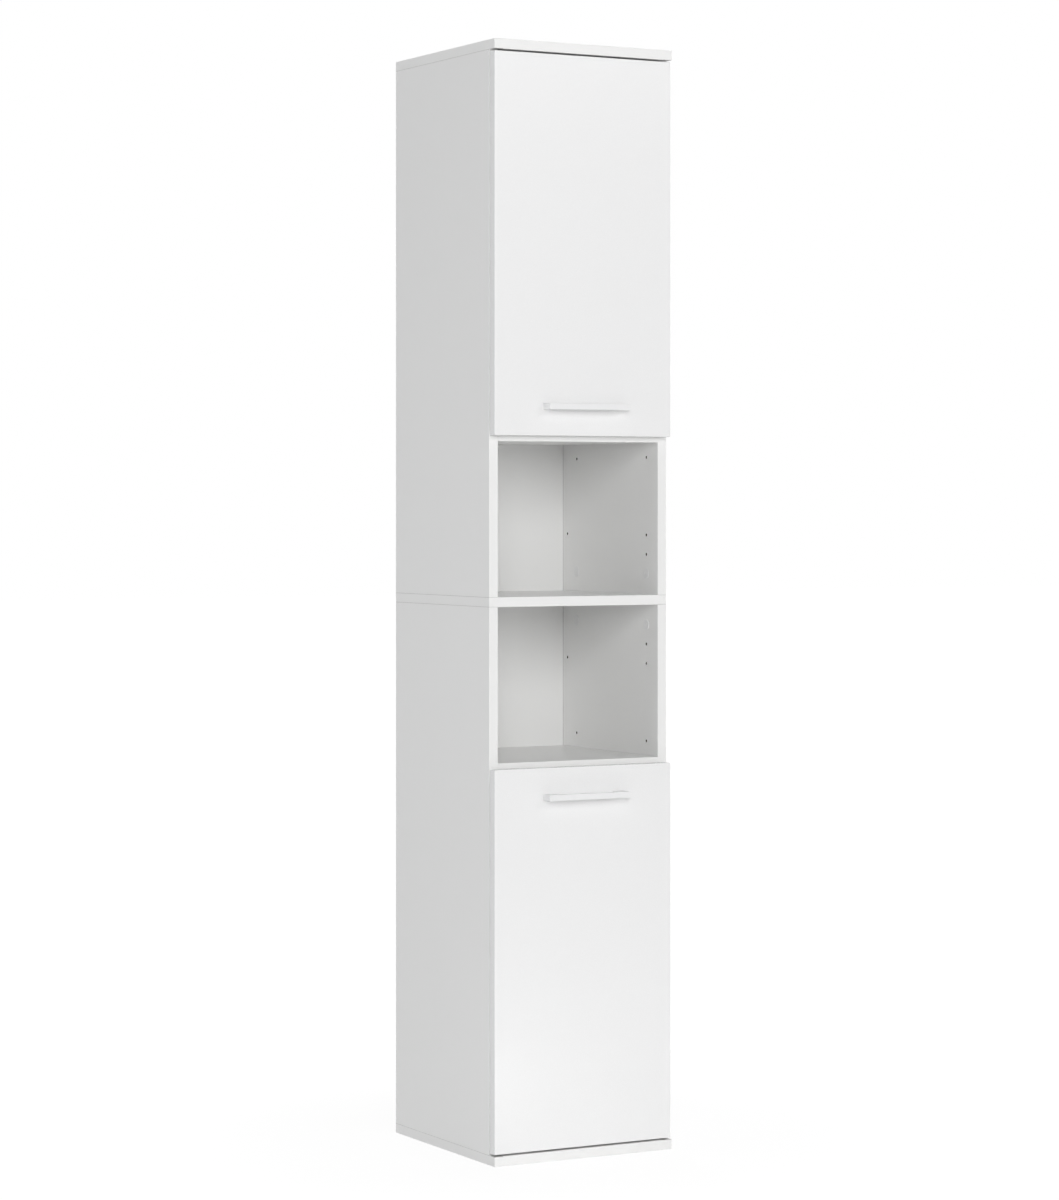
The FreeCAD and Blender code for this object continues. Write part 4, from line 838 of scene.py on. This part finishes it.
for node in ("end_dowels", "middle_dowels", "shelf_dowels"):
    axis = 0 if node == "shelf_dowels" else 2
    along = [1 if n == axis else 0 for n in range(3)]
    shape = bmesh.new()
    for low, high in copies(node):
        half = (high[axis] - low[axis]) / 2 / MM
        wide = (high.y - low.y) / 2 / MM
        end = [(0, -half), (2.6, -half), (3.1, 0.06 - half), (wide - 0.12, 0.72 - half),
               (wide, 0.95 - half)]
        turn(shape, pointing((low + high) / 2, along), end + mirrored(end), sides=DOWEL_SIDES,
             form=flute)
    beech = Finish(node + "_beech", BEECH_PALE, roughness=0.62)
    grain = beech.noise(BEECH_PER_METRE, detail=3, rough=0.6,
                        stretch=[BEECH_STRETCH if n == axis else 1 for n in range(3)])
    fleck = beech.noise(FLECKS_PER_METRE, detail=1,
                        stretch=[FLECK_STRETCH if n == axis else 1 for n in range(3)])
    wood = beech.mix(grain.ramp(*BEECH_SPREAD), BEECH_DARK, BEECH_PALE)
    wood = beech.mix(fleck.ramp(*FLECK_SPREAD) * FLECK_SHARE, wood, FLECK_COLOUR)
    beech.set(beech.surface, "Base Color", wood)
    beech.set(beech.surface, "Roughness", grain * BEECH_ROUGHER + BEECH_ROUGHNESS)
    beech.relief(grain, depth=BEECH_DEEP, strength=0.6)
    finished(node.replace("dowels", "fluted_dowels"), shape, beech, "carcass", node)


# --- Cam caps ------------------------------------------------------------------------------------
# Thin discs moulded in white plastic and stuck over the cams in the niches, with a soft edge and a
# faint gate mark in the middle.
CAP_WHITE, CAP_FADE = (0.87, 0.872, 0.872), 0.97
CAP_SIDES = 56
CAP_ROUGHNESS, CAP_ROUGHER = 0.38, 0.08
SHEEN_PER_METRE, TONE_PER_METRE = 70, 35
MOULD_PER_METRE, MOULD_DEEP = 2400, 0.00003

shape = bmesh.new()
for low, high in copies("cam_caps"):
    middle = (low + high) / 2
    inward = -1 if middle.x > 0 else 1
    foot = Vector((high.x if inward < 0 else low.x, middle.y, middle.z))
    radius = (high.z - low.z) / 2 / MM
    thick = (high.x - low.x) / MM
    turn(shape, pointing(foot, (inward, 0, 0)),
         [(0, 0), (radius - 0.1, 0), (radius, 0.12), (radius, thick * 0.45),
          (radius - 0.12, thick * 0.75), (radius - 0.4, thick * 0.93), (radius - 0.9, thick),
          (0.9, thick), (0.6, thick - 0.12), (0, thick - 0.15)], sides=CAP_SIDES)
plastic = Finish("cap_plastic", CAP_WHITE, roughness=0.42)
plastic.set(plastic.surface, "Roughness",
            plastic.noise(SHEEN_PER_METRE) * CAP_ROUGHER + CAP_ROUGHNESS)
plastic.set(plastic.surface, "Base Color",
            plastic.mix(plastic.noise(TONE_PER_METRE), faded(CAP_WHITE, CAP_FADE), CAP_WHITE))
plastic.relief(plastic.noise(MOULD_PER_METRE, rough=0.6), depth=MOULD_DEEP, strength=0.4)
finished("cam_cover_caps", shape, plastic, "carcass", "cam_caps")


# --- Shelf pins ----------------------------------------------------------------------------------
# Four nickel-plated steel pins under each loose shelf: shank in a row hole, collar against the
# panel and a stub, its end rounded, that carries the board.
SHANK_RADIUS, COLLAR_RADIUS = 2.45, 3.5
SHANK_LONG, COLLAR_END = 6.8, 8.0

for module in ("lower", "upper"):
    node = module + "_shelf_pins"
    shape = bmesh.new()
    for low, high in copies(node):
        middle = (low + high) / 2
        outward = 1 if middle.x > 0 else -1
        start = Vector((low.x if outward > 0 else high.x, middle.y, middle.z))
        length = (high.x - low.x) / MM
        turn(shape, pointing(start, (outward, 0, 0)),
             [(0, 0), (0.9, 0.06), (1.7, 0.34), (2.2, 0.8), (2.42, 1.4), (SHANK_RADIUS, 2.0),
              (SHANK_RADIUS, SHANK_LONG - 0.1), (2.35, SHANK_LONG), (3.3, SHANK_LONG),
              (COLLAR_RADIUS, SHANK_LONG + 0.2), (COLLAR_RADIUS, COLLAR_END - 0.2),
              (3.3, COLLAR_END), (SHANK_RADIUS, COLLAR_END), (SHANK_RADIUS, length - 0.8),
              (2.3, length - 0.4), (1.8, length), (0, length)])
    finished(module + "_sleeve_pins", shape,
             plated(node + "_nickel", NICKEL, roughness=0.28, drawn_along=0), "carcass",
             node)


# --- Wall bracket and its screws -----------------------------------------------------------------
# A bent steel angle under the top board, behind the door, with a hole for the wall screw. Hot zinc
# gives it a faint crystal pattern; the wood screws that hold it up are the same bright zinc.
CRYSTALS_PER_METRE, CRYSTAL_SHARE = 260, 0.35
CRYSTAL_PALE = (0.76, 0.77, 0.79)
BRACKET_HEAD_HIGH = 2

zinc = plated("bracket_zinc_skin", ZINC, roughness=0.34, drawn_along=0)
crystal = zinc.add("ShaderNodeTexVoronoi", None,
                   {"Vector": zinc.place(), "Scale": CRYSTALS_PER_METRE})
pale = zinc.number("ShaderNodeSeparateColor", 0, None, {"Color": crystal.outputs["Color"]})
bright = zinc.surface.inputs["Base Color"].links[0].from_socket
zinc.set(zinc.surface, "Base Color", zinc.mix(pale * CRYSTAL_SHARE, bright, CRYSTAL_PALE))
coat("wall_bracket", zinc)

shape = bmesh.new()
for low, high in copies("bracket_screws"):
    head = (high.x - low.x) / 2 / MM
    seat = (low + high) / 2
    seat.z = low.z + BRACKET_HEAD_HIGH * MM
    screw(shape, pointing(seat, (0, 0, -1)), head, BRACKET_HEAD_HIGH, shank=1.75, core=1.2,
          length=(high.z - seat.z) / MM, pitch=1.4, span=head * RECESS_SPAN)
finished("bracket_wood_screws", shape, plated("bracket_screw_zinc", ZINC, roughness=0.3),
         "carcass", "bracket_screws")
